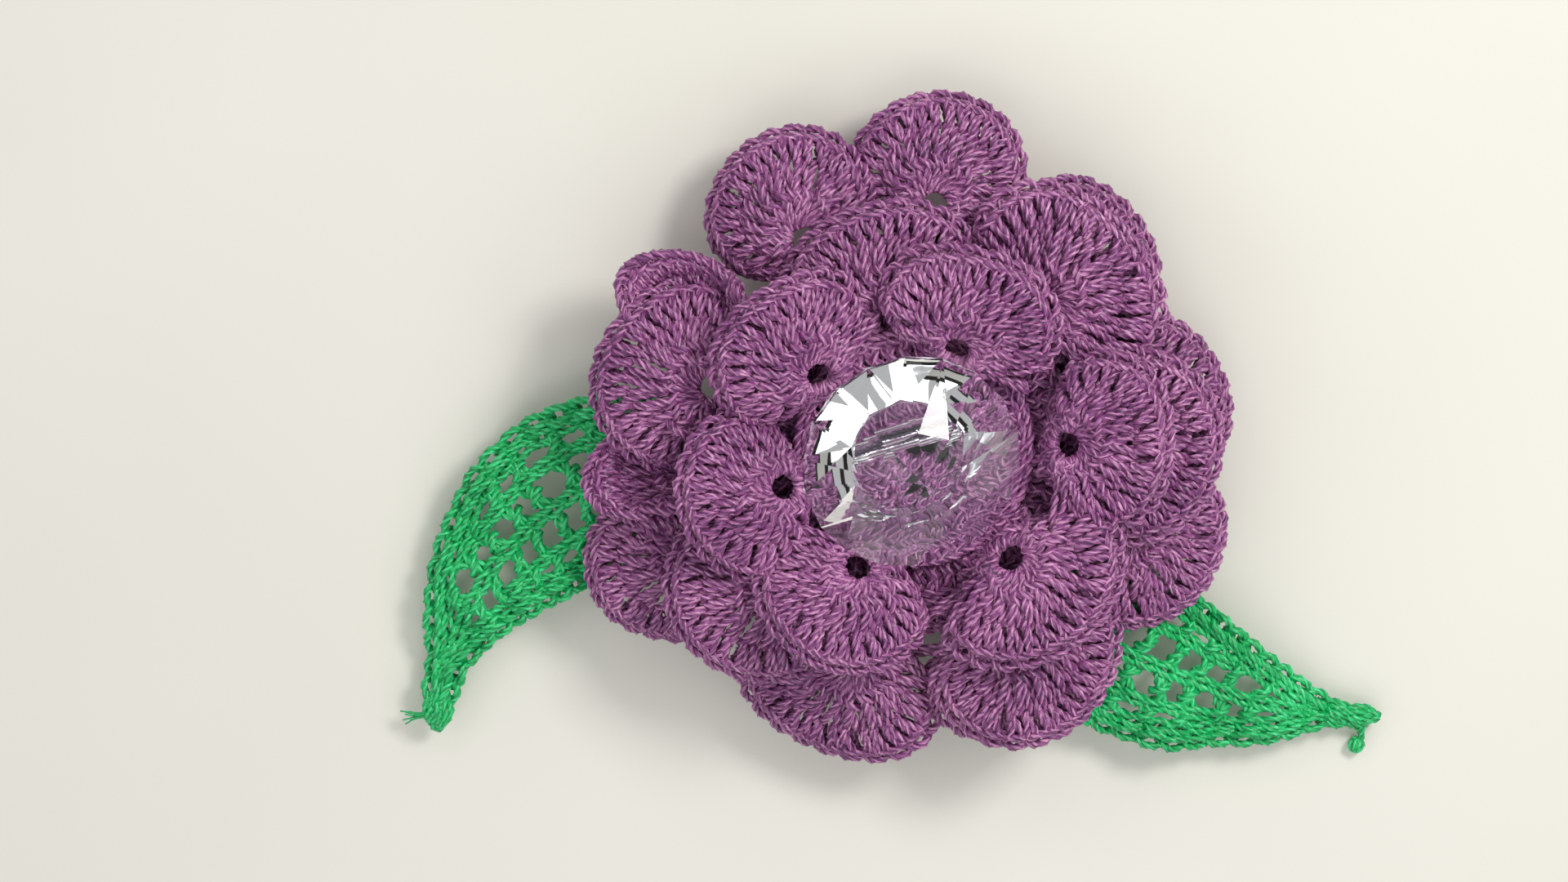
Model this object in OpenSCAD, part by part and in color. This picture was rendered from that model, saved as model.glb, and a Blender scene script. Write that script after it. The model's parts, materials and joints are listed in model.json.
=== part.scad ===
// Crocheted flower brooch: three tiers of petals, two leaves, a faceted stone in
// the middle, a felt backing and a sewn-on bar pin with a hinged stem.
// Millimetres. +Z points out of the flower's face and +Y is up as it is worn.
// The origin is the centre of the felt's back face.

/* [Petals] */
// Thickness of the crocheted fabric of every petal
petal_t = 1.6; // [1.2:0.1:2]
// Diameter of the chain space that each petal fans out from
hub_hole_d = 3; // [1.5:0.1:4]
// Gap left between neighbouring petals of one tier
petal_gap = 0.2; // [0.1:0.05:0.6]
// Height from the hubs of one tier to the hubs of the next
tier_rise = 3; // [2.8:0.05:4]
// Diameter of a front petal
front_petal_d = 14.1; // [11:0.1:17]
// Distance from a front petal's hub to its middle
front_reach = 2.35; // [1.5:0.05:3.5]
// Angle at which the front petals rise
front_pitch = 20; // [12:1:28]
// How far the rim of a front petal stands above its middle
front_cup = 0.8; // [0:0.1:1.2]
// Diameter of a middle petal
middle_petal_d = 15.9; // [12.5:0.1:19]
// Distance from a middle petal's hub to its middle
middle_reach = 2.6; // [1.5:0.05:4]
// Angle at which the middle petals rise
middle_pitch = 8; // [6:1:12]
// How far the rim of a middle petal stands above its middle
middle_cup = 0.4; // [0:0.1:0.6]
// Diameter of a back petal
back_petal_d = 15.3; // [12:0.1:18.4]
// Distance from a back petal's hub to its middle
back_reach = 2.55; // [1.5:0.05:4]
// Angle at which the back petals droop
back_droop = 6; // [3:1:8]
// How far the rim of a back petal stands above its middle
back_cup = 0; // [0:0.1:0.3]

/* [Rounds] */
// Thickness of the crocheted round that carries the back petals
round_t = 1.6; // [1.2:0.1:2]
// How far each round reaches past the inner edge of its farthest petal
round_lap = 0.6; // [0.4:0.1:1]
// Clear distance between a round and the petals of the tier behind it
round_gap = 0.25; // [0.2:0.05:0.4]

/* [Leaves] */
// Thickness of the crocheted leaves
leaf_t = 1.4; // [1:0.1:1.8]
// Length of the left leaf along its midrib
left_leaf_l = 42; // [34:1:50]
// Greatest width of the left leaf
left_leaf_w = 16; // [10:0.5:20]
// Length of the right leaf along its midrib
right_leaf_l = 38; // [32:1:46]
// Greatest width of the right leaf
right_leaf_w = 15.6; // [10:0.5:20]
// Angle at which the leaves slope back from the flower
leaf_slope = 7; // [6.5:0.5:8]
// Depth to which each leaf's root is worked into the back round
leaf_root_lap = 0.2; // [0.1:0.05:0.3]

/* [Stone] */
// Diameter of the stone across opposite corners of its girdle
stone_d = 20; // [14:0.5:24]
// Number of main facets; the girdle has twice as many sides
facet_count = 9; // [7:1:12]
// Height of the pointed crown above the girdle
crown_h = 5.6; // [4:0.1:7]
// Radius of the ring of corners around the crown's point
star_r = 4.3; // [3:0.1:6]
// Height of that ring above the girdle
star_h = 3.9; // [3.2:0.1:3.9]
// Thickness of the girdle
girdle_t = 0.7; // [0.4:0.1:1.2]
// Depth of the faceted back, from the girdle to the shank
pavilion_h = 3.8; // [3:0.1:5]
// Diameter of the shank moulded on the stone's back
shank_d = 7; // [6:0.1:8]
// Height of the shank
shank_h = 2.8; // [2.4:0.1:3.4]
// Diameter of the thread hole drilled across the shank
thread_hole_d = 1.8; // [1.4:0.1:2]
// Diameter of the bundle of thread that ties the stone down
thread_d = 1.1; // [0.8:0.1:1.2]
// Angle at which the stone leans from the flower's axis
stone_tilt = 16; // [0:1:18]

/* [Backing] */
// Diameter of the felt disc
felt_d = 27; // [24:0.5:29]
// Thickness of the felt disc
felt_t = 1.2; // [0.8:0.1:1.6]

/* [Bar pin] */
// Length of the pin's base bar
bar_l = 30; // [26:1:36]
// Width of the base bar
bar_w = 4.8; // [4.2:0.1:5.8]
// Thickness of the base bar
bar_t = 0.8; // [0.6:0.1:1]
// Height of the bar's centreline above the middle of the flower
bar_up = 5; // [0:0.5:7]
// Diameter of the sewing holes in the bar
sew_hole_d = 1.8; // [1.2:0.1:2.2]
// Distance between the sewing holes
sew_pitch = 7; // [6:0.5:8]
// Distance from the bar's underside to the stem's axis
stem_drop = 1.9; // [1.8:0.1:3]
// Diameter of the pin stem
stem_d = 0.8; // [0.6:0.05:0.9]
// Diameter of the hinge rivet
rivet_d = 1; // [0.8:0.05:1.2]
// Outer diameter of the stem's rolled eye
eye_d = 2.2; // [1.9:0.05:2.4]
// Width of the stem's rolled eye
eye_w = 2; // [1.6:0.1:2.4]
// Thickness of each hinge ear
ear_t = 0.6; // [0.4:0.05:0.8]
// Outer diameter of the catch housing
catch_d = 3.8; // [3.6:0.05:3.9]
// Length of the catch housing along the stem
catch_l = 2.6; // [2:0.1:3.2]
// Wall of the catch housing
catch_wall = 0.6; // [0.45:0.05:0.65]
// Reach of the catch's thumb lever from the stem's axis
lever_reach = 2.6; // [2.4:0.1:3]
// Diameter of the sewing thread that holds the bar
stitch_d = 0.5; // [0.3:0.05:0.6]

/* [Hidden] */
$fn = 64;

// Each petal as [direction in degrees, distance of its hub from the flower's axis]
FRONT_PETALS = [[-165, 13], [-116, 12.4], [-48, 13.8], [3, 14.6], [68, 10.8], [141, 11.9]];
MIDDLE_PETALS = [[-136, 17], [-62, 19.5], [0, 17.5], [47, 17.5], [100, 12.2], [163, 19.5]];
BACK_PETALS = [
    [-153, 22.5], [-106, 21], [-65, 20], [-24, 21], [9, 19.5],
    [47, 19.5], [85, 22], [118, 21.2], [148, 20.5], [186, 20]
];

// Petal outline and slope of each tier: [diameter, reach, pitch, cup]
FRONT_SHAPE = [front_petal_d, front_reach, front_pitch, front_cup];
MIDDLE_SHAPE = [middle_petal_d, middle_reach, middle_pitch, middle_cup];
BACK_SHAPE = [back_petal_d, back_reach, -back_droop, back_cup];

// Points across a petal's profile, and the height of the solids that trim it
PETAL_STEPS = 6;
SECTOR_H = 60;
SECTOR_R = 90;

// Distance from a petal's hub to its inner edge, seen along the flower's axis
function inner_run(shape) = (shape[0] / 2 - shape[1]) * cos(shape[2]);

// Height of a petal's inner edge above its hub, at mid thickness
function inner_rise(shape) =
    -(shape[0] / 2 - shape[1]) * sin(shape[2]) + shape[3] - hub_lift(shape);

// Height that the cup gives a petal at its hub
function hub_lift(shape) = shape[3] * pow(2 * shape[1] / shape[0], 2);

// Highest point, above the hubs, of a tier's petals under a flange of radius r
function under_flange(petals, shape, r) =
    inner_rise(shape) + petal_t / 2
    + max(0, (r - nearest(petals, shape)) * tan(shape[2]));

function nearest(petals, shape) = min([for (p = petals) p[1]]) - inner_run(shape);
function farthest(petals, shape) = max([for (p = petals) p[1]]) - inner_run(shape);

// Heights of the tiers
back_hub_z = felt_t + petal_t / 2;
middle_hub_z = back_hub_z + tier_rise;
front_hub_z = middle_hub_z + tier_rise;
back_top_z = felt_t + round_t;
middle_top_z = middle_hub_z + 0.25;
front_top_z = front_hub_z - petal_t / 2 + 0.1;

// Root of a leaf, set in from the edge of the back round
back_round_r = farthest(BACK_PETALS, BACK_SHAPE) + round_lap;
function leaf_root(bearing, inset) =
    (back_round_r - inset) * [cos(bearing), sin(bearing)];

// Leaves: [root, direction, turn of the midrib, length, width, downhill]
LEFT_LEAF = [leaf_root(-176.7, 0.8), -136.5, 83, left_leaf_l, left_leaf_w, -166];
RIGHT_LEAF = [leaf_root(-53.57, 2.37), -23.5, 37, right_leaf_l, right_leaf_w, -42];
LEAF_STEPS = 28;
leaf_end_w = 1.2;

// Stone: foot of its shank from the flower's axis, direction it leans in, and
// direction of its thread hole
STONE_FOOT = [-1.7, 1.3];
STONE_LEAN = -50;
HOLE_TURN = 15;
hole_h = shank_h / 2;
seat_rise = shank_d / 2 * sin(stone_tilt);
shank_step = 0.4;
thread_side = 0.15;
thread_sink = 0.5;

// Bar pin
stem_z = -bar_t - stem_drop;
end_margin = 2;
hinge_x = -bar_l / 2 + end_margin;
catch_x = bar_l / 2 - end_margin - catch_l / 2 - 0.5;
rivet_clearance = 0.04;
side_clearance = 0.1;
ear_gap = eye_w + 2 * side_clearance;
ear_r = eye_d / 2 + 0.4;
rivet_head_d = rivet_d + 0.8;
rivet_head_t = 0.35;
catch_bore_d = catch_d - 2 * catch_wall;
rotor_clearance = 0.05;
rotor_d = catch_bore_d - 2 * rotor_clearance;
rotor_bore_d = stem_d + 0.2;
rotor_slot_w = stem_d + 0.2;
catch_slot_w = stem_d + 0.3;
flange_t = 0.5;
flange_d = catch_d - 0.4;
flange_x = catch_l / 2 + rotor_clearance;
lever_w = 1;
neck_d = stem_d + 0.4;
shaft_start_x = hinge_x + eye_d / 2 + 1.3;
shaft_end_x = catch_x - flange_x - flange_t - 0.3;
tip_end_x = catch_x + flange_x + flange_t + 2.6;
tip_point_d = 0.12;
stitch_overhang = 0.5;
stitch_sink = 0.4;

// A slice of the flower between two directions, drawn in by half the petal gap
module sector(from, to) {
    middle = (from + to) / 2;
    inset = petal_gap / 2 / sin((to - from) / 2);
    translate([inset * cos(middle), inset * sin(middle), -SECTOR_H / 2])
        linear_extrude(SECTOR_H)
            polygon([
                [0, 0],
                [SECTOR_R * cos(from), SECTOR_R * sin(from)],
                [SECTOR_R * cos(to), SECTOR_R * sin(to)]
            ]);
}

// A round, slightly cupped petal with its hub at the origin, fanning out along +X
module petal_disc(shape) {
    r = shape[0] / 2;
    rise = [for (i = [0:PETAL_STEPS]) shape[3] * pow(i / PETAL_STEPS, 2)];
    lower = [for (i = [0:PETAL_STEPS]) [r * i / PETAL_STEPS, rise[i] - petal_t / 2]];
    upper = [for (i = [PETAL_STEPS:-1:0]) [r * i / PETAL_STEPS, rise[i] + petal_t / 2]];
    rotate([0, -shape[2], 0])
        translate([0, 0, -hub_lift(shape)])
            difference() {
                translate([shape[1], 0, 0])
                    rotate_extrude()
                        polygon(concat(lower, upper));
                translate([0, 0, -petal_t * 2])
                    cylinder(h = petal_t * 4, d = hub_hole_d);
            }
}

// Petal number n of a tier, trimmed halfway to each of its neighbours
module petal(petals, n, shape, z) {
    count = len(petals);
    here = petals[n - 1];
    before = n == 1 ? petals[count - 1][0] - 360 : petals[n - 2][0];
    after = n == count ? petals[0][0] + 360 : petals[n][0];
    intersection() {
        rotate([0, 0, here[0]])
            translate([here[1], 0, z])
                petal_disc(shape);
        sector((before + here[0]) / 2, (here[0] + after) / 2);
    }
}

module front_petal(n) {
    color("#8A4A8C")
        petal(FRONT_PETALS, n, FRONT_SHAPE, front_hub_z);
}

module middle_petal(n) {
    color("#7E4282")
        petal(MIDDLE_PETALS, n, MIDDLE_SHAPE, middle_hub_z);
}

module back_petal(n) {
    color("#733B77")
        petal(BACK_PETALS, n, BACK_SHAPE, back_hub_z);
}

// The stepped round between two tiers: a drum that clears the petals behind it,
// under a wider flange that laps the inner edges of its own petals
module stepped_round(bottom_z, top_z, drum_r, flange_r, petals_top_z) {
    step_z = petals_top_z + round_gap;
    union() {
        translate([0, 0, bottom_z])
            cylinder(h = top_z - bottom_z, r = drum_r);
        translate([0, 0, step_z])
            cylinder(h = top_z - step_z, r = flange_r);
    }
}

module front_round() {
    flange_r = farthest(FRONT_PETALS, FRONT_SHAPE) + round_lap;
    color("#6E3872")
        stepped_round(
            middle_top_z,
            front_top_z,
            nearest(MIDDLE_PETALS, MIDDLE_SHAPE) - round_gap,
            flange_r,
            middle_hub_z + under_flange(MIDDLE_PETALS, MIDDLE_SHAPE, flange_r)
        );
}

module middle_round() {
    flange_r = farthest(MIDDLE_PETALS, MIDDLE_SHAPE) + round_lap;
    color("#673469")
        stepped_round(
            back_top_z,
            middle_top_z,
            nearest(BACK_PETALS, BACK_SHAPE) - round_gap,
            flange_r,
            back_hub_z + under_flange(BACK_PETALS, BACK_SHAPE, flange_r)
        );
}

module back_round() {
    color("#5F3064")
        translate([0, 0, felt_t])
            cylinder(h = round_t, r = back_round_r);
}

// Point of a leaf's midrib at t from root (0) to tip (1): an arc with its chord on +X
function midrib(leaf, t) =
    let (r = leaf[3] / (leaf[2] * PI / 180), turn = leaf[2] * (t - 0.5))
    [r * (sin(turn) + sin(leaf[2] / 2)), r * (cos(leaf[2] / 2) - cos(turn))];

// Half the width of a leaf at t: fullest before the middle, with a drawn-out tip
function half_width(leaf, t) =
    max(leaf_end_w / 2, leaf[4] / 2 * pow(sin(180 * pow(t, 0.7)), 1.2));

// Edge of a leaf on one side of its midrib
function leaf_edge(leaf, t, side) =
    let (turn = leaf[2] * (t - 0.5), w = side * half_width(leaf, t))
    midrib(leaf, t) + [-w * sin(turn), w * cos(turn)];

module leaf(leaf) {
    outline = concat(
        [for (i = [0:LEAF_STEPS]) leaf_edge(leaf, i / LEAF_STEPS, -1)],
        [for (i = [LEAF_STEPS:-1:0]) leaf_edge(leaf, i / LEAF_STEPS, 1)]
    );
    color("#1F9E58")
        translate([leaf[0][0], leaf[0][1], felt_t + leaf_root_lap])
            rotate([0, leaf_slope, leaf[5]])
                rotate([0, 0, leaf[1] - leaf[5]])
                    translate([0, 0, -leaf_t])
                        linear_extrude(leaf_t)
                            polygon(outline);
}

module left_leaf() {
    leaf(LEFT_LEAF);
}

module right_leaf() {
    leaf(RIGHT_LEAF);
}

// Ring of corners, with the first corner on +X
function corners(count, r, z) =
    [for (i = [0:count - 1]) [r * cos(360 * i / count), r * sin(360 * i / count), z]];

// Faceted body of the stone, from the top of the shank to the point of the crown
module stone_body() {
    n = facet_count;
    r = stone_d / 2;
    girdle_z = shank_h + pavilion_h;
    top_z = girdle_z + girdle_t;
    points = concat(
        corners(n, shank_d / 2 + shank_step, shank_h),
        corners(2 * n, r, girdle_z),
        corners(2 * n, r, top_z),
        corners(n, star_r, top_z + star_h),
        [[0, 0, top_z + crown_h]]
    );
    low = [for (i = [0:n - 1]) i];
    below = [for (i = [0:2 * n - 1]) n + i];
    above = [for (i = [0:2 * n - 1]) 3 * n + i];
    star = [for (i = [0:n - 1]) 5 * n + i];
    point = 6 * n;
    faces = concat(
        [low],
        [for (i = [0:n - 1]) [below[2 * i], below[2 * i + 1], low[i]]],
        [for (i = [0:n - 1]) [below[(2 * i + 2 * n - 1) % (2 * n)], below[2 * i], low[i]]],
        [for (i = [0:n - 1]) [low[i], below[2 * i + 1], low[(i + 1) % n]]],
        [for (i = [0:2 * n - 1])
            [above[i], above[(i + 1) % (2 * n)], below[(i + 1) % (2 * n)], below[i]]],
        [for (i = [0:n - 1]) [star[i], above[2 * i + 1], above[2 * i]]],
        [for (i = [0:n - 1]) [star[i], above[2 * i], above[(2 * i + 2 * n - 1) % (2 * n)]]],
        [for (i = [0:n - 1]) [star[i], star[(i + 1) % n], above[2 * i + 1]]],
        [for (i = [0:n - 1]) [point, star[(i + 1) % n], star[i]]]
    );
    polyhedron(points, faces);
}

// Puts a piece on the front round, leaning with the stone
module on_stone_seat() {
    translate([STONE_FOOT[0], STONE_FOOT[1], front_top_z + seat_rise])
        rotate([0, stone_tilt, STONE_LEAN])
            rotate([0, 0, HOLE_TURN - STONE_LEAN])
                children();
}

module stone() {
    color("#E8EEF2", 0.5)
        on_stone_seat()
            difference() {
                union() {
                    stone_body();
                    cylinder(h = shank_h + shank_step, d = shank_d);
                }
                translate([0, 0, hole_h])
                    rotate([0, 90, 0])
                        cylinder(h = shank_d * 2, d = thread_hole_d, center = true);
            }
}

// Length of the thread's leg at distance x along the hole, down into the round
function thread_leg(x) =
    hole_h + thread_sink
    + (seat_rise - x * sin(stone_tilt) * cos(HOLE_TURN - STONE_LEAN)) / cos(stone_tilt);

// Thread through the stone's hole, with a leg down into the round on each side
module stone_thread() {
    side = shank_d / 2 + thread_d / 2 + thread_side;
    color("#5B2C5F")
        on_stone_seat()
            translate([0, 0, hole_h]) {
                rotate([0, 90, 0])
                    cylinder(h = 2 * side, d = thread_d, center = true);
                for (x = [-side, side])
                    translate([x, 0, 0]) {
                        sphere(d = thread_d);
                        translate([0, 0, -thread_leg(x)])
                            cylinder(h = thread_leg(x), d = thread_d);
                    }
            }
}

module felt_backing() {
    color("#4B2A52")
        cylinder(h = felt_t, d = felt_d);
}

// Bar with round ends, its back face on z = 0
module bar_plate() {
    straight = bar_l - bar_w;
    translate([0, bar_up, -bar_t]) {
        translate([-straight / 2, -bar_w / 2, 0])
            cube([straight, bar_w, bar_t]);
        for (x = [-straight / 2, straight / 2])
            translate([x, 0, 0])
                cylinder(h = bar_t, d = bar_w);
    }
}

// A hinge ear, standing on the bar's underside at the side given by its sign
module ear(side) {
    inner_y = bar_up + side * ear_gap / 2;
    low_y = side > 0 ? inner_y : inner_y - ear_t;
    translate([hinge_x, low_y + ear_t, stem_z])
        rotate([90, 0, 0])
            cylinder(h = ear_t, r = ear_r);
    translate([hinge_x - ear_r, low_y, stem_z])
        cube([2 * ear_r, ear_t, stem_drop]);
}

// Round housing of the catch, tied to the bar by a short neck
module catch_housing() {
    neck_h = catch_wall * 0.75;
    translate([catch_x - catch_l / 2, bar_up, stem_z])
        rotate([0, 90, 0])
            cylinder(h = catch_l, d = catch_d);
    translate([catch_x - catch_l / 2, bar_up - catch_d / 4, stem_z + catch_d / 2 - neck_h])
        cube([catch_l, catch_d / 2, stem_drop - catch_d / 2 + neck_h]);
}

module pin_bar() {
    cut = 2;
    housing_x = catch_x - catch_l / 2;
    color("#C9CCD1")
        difference() {
            union() {
                bar_plate();
                ear(-1);
                ear(1);
                catch_housing();
            }
            for (x = [-sew_pitch, 0, sew_pitch])
                translate([x, bar_up, -bar_t - cut / 2])
                    cylinder(h = bar_t + cut, d = sew_hole_d);
            translate([hinge_x, bar_up, stem_z])
                rotate([90, 0, 0])
                    cylinder(h = ear_gap + 2 * ear_t + cut, d = rivet_d, center = true);
            translate([catch_x, bar_up, stem_z])
                rotate([0, 90, 0])
                    cylinder(h = catch_l + cut, d = catch_bore_d, center = true);
            translate([housing_x - cut / 2, bar_up - catch_slot_w / 2, stem_z - catch_d])
                cube([catch_l + cut, catch_slot_w, catch_d]);
        }
}

module hinge_rivet() {
    grip = ear_gap + 2 * ear_t;
    color("#B7BAC0")
        translate([hinge_x, bar_up, stem_z])
            rotate([90, 0, 0]) {
                cylinder(h = grip, d = rivet_d, center = true);
                for (side = [0, 180])
                    rotate([side, 0, 0])
                        translate([0, 0, grip / 2])
                            cylinder(h = rivet_head_t, d1 = rivet_head_d, d2 = rivet_d);
            }
}

// Stem with a rolled eye at the hinge, a plain shaft, and a long ground point
module pin_stem() {
    color("#D5D8DC")
        difference() {
            union() {
                translate([hinge_x, bar_up, stem_z])
                    rotate([90, 0, 0])
                        cylinder(h = eye_w, d = eye_d, center = true);
                translate([hinge_x, bar_up, stem_z])
                    rotate([0, 90, 0])
                        cylinder(h = shaft_start_x - hinge_x, d = neck_d);
                translate([shaft_start_x, bar_up, stem_z])
                    rotate([0, 90, 0])
                        cylinder(h = shaft_end_x - shaft_start_x, d = stem_d);
                translate([shaft_end_x, bar_up, stem_z])
                    rotate([0, 90, 0])
                        cylinder(h = tip_end_x - shaft_end_x, d1 = stem_d, d2 = tip_point_d);
            }
            translate([hinge_x, bar_up, stem_z])
                rotate([90, 0, 0])
                    cylinder(h = eye_w * 2, d = rivet_d + 2 * rivet_clearance, center = true);
        }
}

// Slotted rotor that turns in the housing, with a flange on each side and a lever
module safety_catch() {
    color("#BFC2C8")
        translate([catch_x, bar_up, stem_z])
            difference() {
                rotate([0, 90, 0])
                    union() {
                        cylinder(h = 2 * flange_x, d = rotor_d, center = true);
                        for (side = [0, 180])
                            rotate([side, 0, 0])
                                translate([0, 0, flange_x])
                                    cylinder(h = flange_t, d = flange_d);
                        translate([-lever_w / 2, -lever_reach, flange_x])
                            cube([lever_w, lever_reach, flange_t]);
                    }
                rotate([0, 90, 0])
                    cylinder(h = catch_l * 3, d = rotor_bore_d, center = true);
                translate([-catch_l * 1.5, -rotor_slot_w / 2, -catch_d])
                    cube([catch_l * 3, rotor_slot_w, catch_d]);
            }
}

// One stitch at each sewing hole: across the bar, down beside it and through the hole
module pin_stitches() {
    side = bar_w / 2 + stitch_overhang;
    top = bar_t + stitch_d / 2;
    color("#6A3A70")
        for (x = [-sew_pitch, 0, sew_pitch])
            translate([x, bar_up, -top]) {
                rotate([90, 0, 0])
                    cylinder(h = 2 * side, d = stitch_d, center = true);
                for (y = [-side, 0, side])
                    translate([0, y, 0]) {
                        sphere(d = stitch_d);
                        cylinder(h = top + stitch_sink, d = stitch_d);
                    }
            }
}

for (n = [1:6])
    front_petal(n);
for (n = [1:6])
    middle_petal(n);
for (n = [1:10])
    back_petal(n);
front_round();
middle_round();
back_round();
left_leaf();
right_leaf();
stone();
stone_thread();
felt_backing();
pin_bar();
hinge_rivet();
pin_stem();
safety_catch();
pin_stitches();
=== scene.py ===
"""Crocheted flower brooch: three tiers of petals, two leaves and a clear stone.

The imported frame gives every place. Yarn, felt and thread are built here as surfaces
worked out with numpy; the stone and the metal pin keep the frame's own solids. Lengths
inside the classes are millimetres in the frame's axes (+Z out of the flower's face).
"""

import json
import logging
import math
from abc import ABC, abstractmethod
from dataclasses import dataclass, field
from enum import Enum
from typing import Any, Callable, Sequence

import bpy
import numpy as np
from mathutils import Matrix, Vector

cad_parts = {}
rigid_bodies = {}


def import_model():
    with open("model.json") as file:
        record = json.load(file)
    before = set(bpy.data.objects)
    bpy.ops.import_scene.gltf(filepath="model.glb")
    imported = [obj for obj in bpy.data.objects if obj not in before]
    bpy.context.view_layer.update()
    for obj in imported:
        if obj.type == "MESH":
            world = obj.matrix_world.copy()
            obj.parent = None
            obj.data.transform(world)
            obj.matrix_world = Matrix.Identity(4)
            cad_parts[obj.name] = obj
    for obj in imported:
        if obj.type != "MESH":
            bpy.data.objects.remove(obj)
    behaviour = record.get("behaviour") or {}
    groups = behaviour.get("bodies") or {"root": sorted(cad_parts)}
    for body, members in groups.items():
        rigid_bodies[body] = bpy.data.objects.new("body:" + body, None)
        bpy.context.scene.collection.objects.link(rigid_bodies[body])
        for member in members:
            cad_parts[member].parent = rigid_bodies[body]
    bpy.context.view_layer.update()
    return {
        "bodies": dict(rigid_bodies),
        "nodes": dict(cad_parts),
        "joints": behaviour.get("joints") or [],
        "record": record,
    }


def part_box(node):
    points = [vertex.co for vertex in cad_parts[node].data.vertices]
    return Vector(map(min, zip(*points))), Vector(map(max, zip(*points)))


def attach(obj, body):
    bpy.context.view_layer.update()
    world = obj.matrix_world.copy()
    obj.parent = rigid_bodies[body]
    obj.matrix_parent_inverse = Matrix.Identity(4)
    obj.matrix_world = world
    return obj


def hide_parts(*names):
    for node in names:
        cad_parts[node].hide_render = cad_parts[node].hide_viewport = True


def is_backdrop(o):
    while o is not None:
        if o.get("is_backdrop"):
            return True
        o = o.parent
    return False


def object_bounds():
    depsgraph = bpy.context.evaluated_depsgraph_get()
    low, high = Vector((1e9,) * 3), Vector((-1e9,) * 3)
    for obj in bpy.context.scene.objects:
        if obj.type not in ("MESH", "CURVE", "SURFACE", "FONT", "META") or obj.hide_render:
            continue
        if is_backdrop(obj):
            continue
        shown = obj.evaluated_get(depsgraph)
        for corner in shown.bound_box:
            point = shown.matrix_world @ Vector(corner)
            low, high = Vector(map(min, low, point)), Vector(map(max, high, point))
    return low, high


LOG = logging.getLogger("brooch")
MM = 0.001
TAU = 2 * math.pi

# Plies twisted together in every yarn and thread
PLIES = 3
# How far the UV runs once round a yarn, in millimetres
YARN_V = 1.9
# Least distance from the middle at which a step round a cloth is measured
LEAST_REACH = 1.2


# --------------------------------------------------------------------------- helpers


def linear(hex_colour: str) -> tuple[float, float, float, float]:
    """Turns an sRGB hex colour into Blender's linear RGBA.

    Args:
        hex_colour: Six hex digits, with or without a leading '#'.

    Returns:
        Linear red, green, blue and an alpha of 1.
    """
    digits = hex_colour.lstrip("#")
    srgb = [int(digits[i : i + 2], 16) / 255 for i in (0, 2, 4)]
    toned = [c / 12.92 if c <= 0.04045 else ((c + 0.055) / 1.055) ** 2.4 for c in srgb]
    return (toned[0], toned[1], toned[2], 1.0)


def unit(vectors: np.ndarray) -> np.ndarray:
    """Scales vectors on the last axis to length one."""
    return vectors / np.maximum(np.linalg.norm(vectors, axis=-1, keepdims=True), 1e-9)


def turned(points: np.ndarray, degrees: float, axis: str) -> np.ndarray:
    """Turns points about a frame axis by the right-hand rule.

    Args:
        points: Points on the last axis.
        degrees: Angle of the turn.
        axis: "X", "Y" or "Z".

    Returns:
        The turned points, in the same shape.
    """
    matrix = np.array(Matrix.Rotation(math.radians(degrees), 3, axis))
    return points @ matrix.T


def smooth(control: np.ndarray, samples: int) -> np.ndarray:
    """Runs a Catmull-Rom curve through each row of control points.

    Between two controls the curve is the cubic whose end slopes are half the distance
    between the controls on either side.

    Args:
        control: Array (paths, controls, 3).
        samples: Points wanted on each path.

    Returns:
        Array (paths, samples, 3).
    """
    first = 2 * control[:, :1] - control[:, 1:2]
    last = 2 * control[:, -1:] - control[:, -2:-1]
    padded = np.concatenate([first, control, last], axis=1)
    place = np.linspace(0, control.shape[1] - 1, samples)
    span = np.minimum(place.astype(int), control.shape[1] - 2)
    f = (place - span)[None, :, None]
    p0, p1, p2, p3 = (padded[:, span + k] for k in range(4))
    return 0.5 * (
        2 * p1
        + (p2 - p0) * f
        + (2 * p0 - 5 * p1 + 4 * p2 - p3) * f**2
        + (3 * p1 - p0 - 3 * p2 + p3) * f**3
    )


def mesh_object(
    name: str,
    points: np.ndarray,
    loops: np.ndarray,
    starts: np.ndarray,
    material: bpy.types.Material,
    uv: np.ndarray | None = None,
    shade_smooth: bool = True,
) -> bpy.types.Object:
    """Puts arrays into a mesh object at the origin.

    Args:
        name: Object and mesh name.
        points: Corners in millimetres, (n, 3).
        loops: Corner indices of all faces, end to end.
        starts: Where each face starts in loops.
        material: Material of every face.
        uv: Optional UV for each loop, (len(loops), 2).
        shade_smooth: Whether faces are smooth shaded.

    Returns:
        The new object, linked to the scene.
    """
    mesh = bpy.data.meshes.new(name)
    mesh.vertices.add(len(points))
    mesh.vertices.foreach_set("co", (points * MM).astype(np.float32).ravel())
    mesh.loops.add(len(loops))
    mesh.loops.foreach_set("vertex_index", loops.astype(np.int32))
    mesh.polygons.add(len(starts))
    mesh.polygons.foreach_set("loop_start", starts.astype(np.int32))
    mesh.polygons.foreach_set("use_smooth", np.full(len(starts), shade_smooth))
    if uv is not None:
        layer = mesh.uv_layers.new(name="yarn")
        layer.data.foreach_set("uv", uv.astype(np.float32).ravel())
    mesh.update(calc_edges=True)
    mesh.materials.append(material)
    obj = bpy.data.objects.new(name, mesh)
    bpy.context.scene.collection.objects.link(obj)
    return obj


def node_points(node: str) -> np.ndarray:
    """Corners of a frame node's mesh in millimetres."""
    mesh = bpy.data.objects[node].data
    flat = np.empty(len(mesh.vertices) * 3, np.float32)
    mesh.vertices.foreach_get("co", flat)
    return flat.reshape(-1, 3).astype(float) / MM


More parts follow.
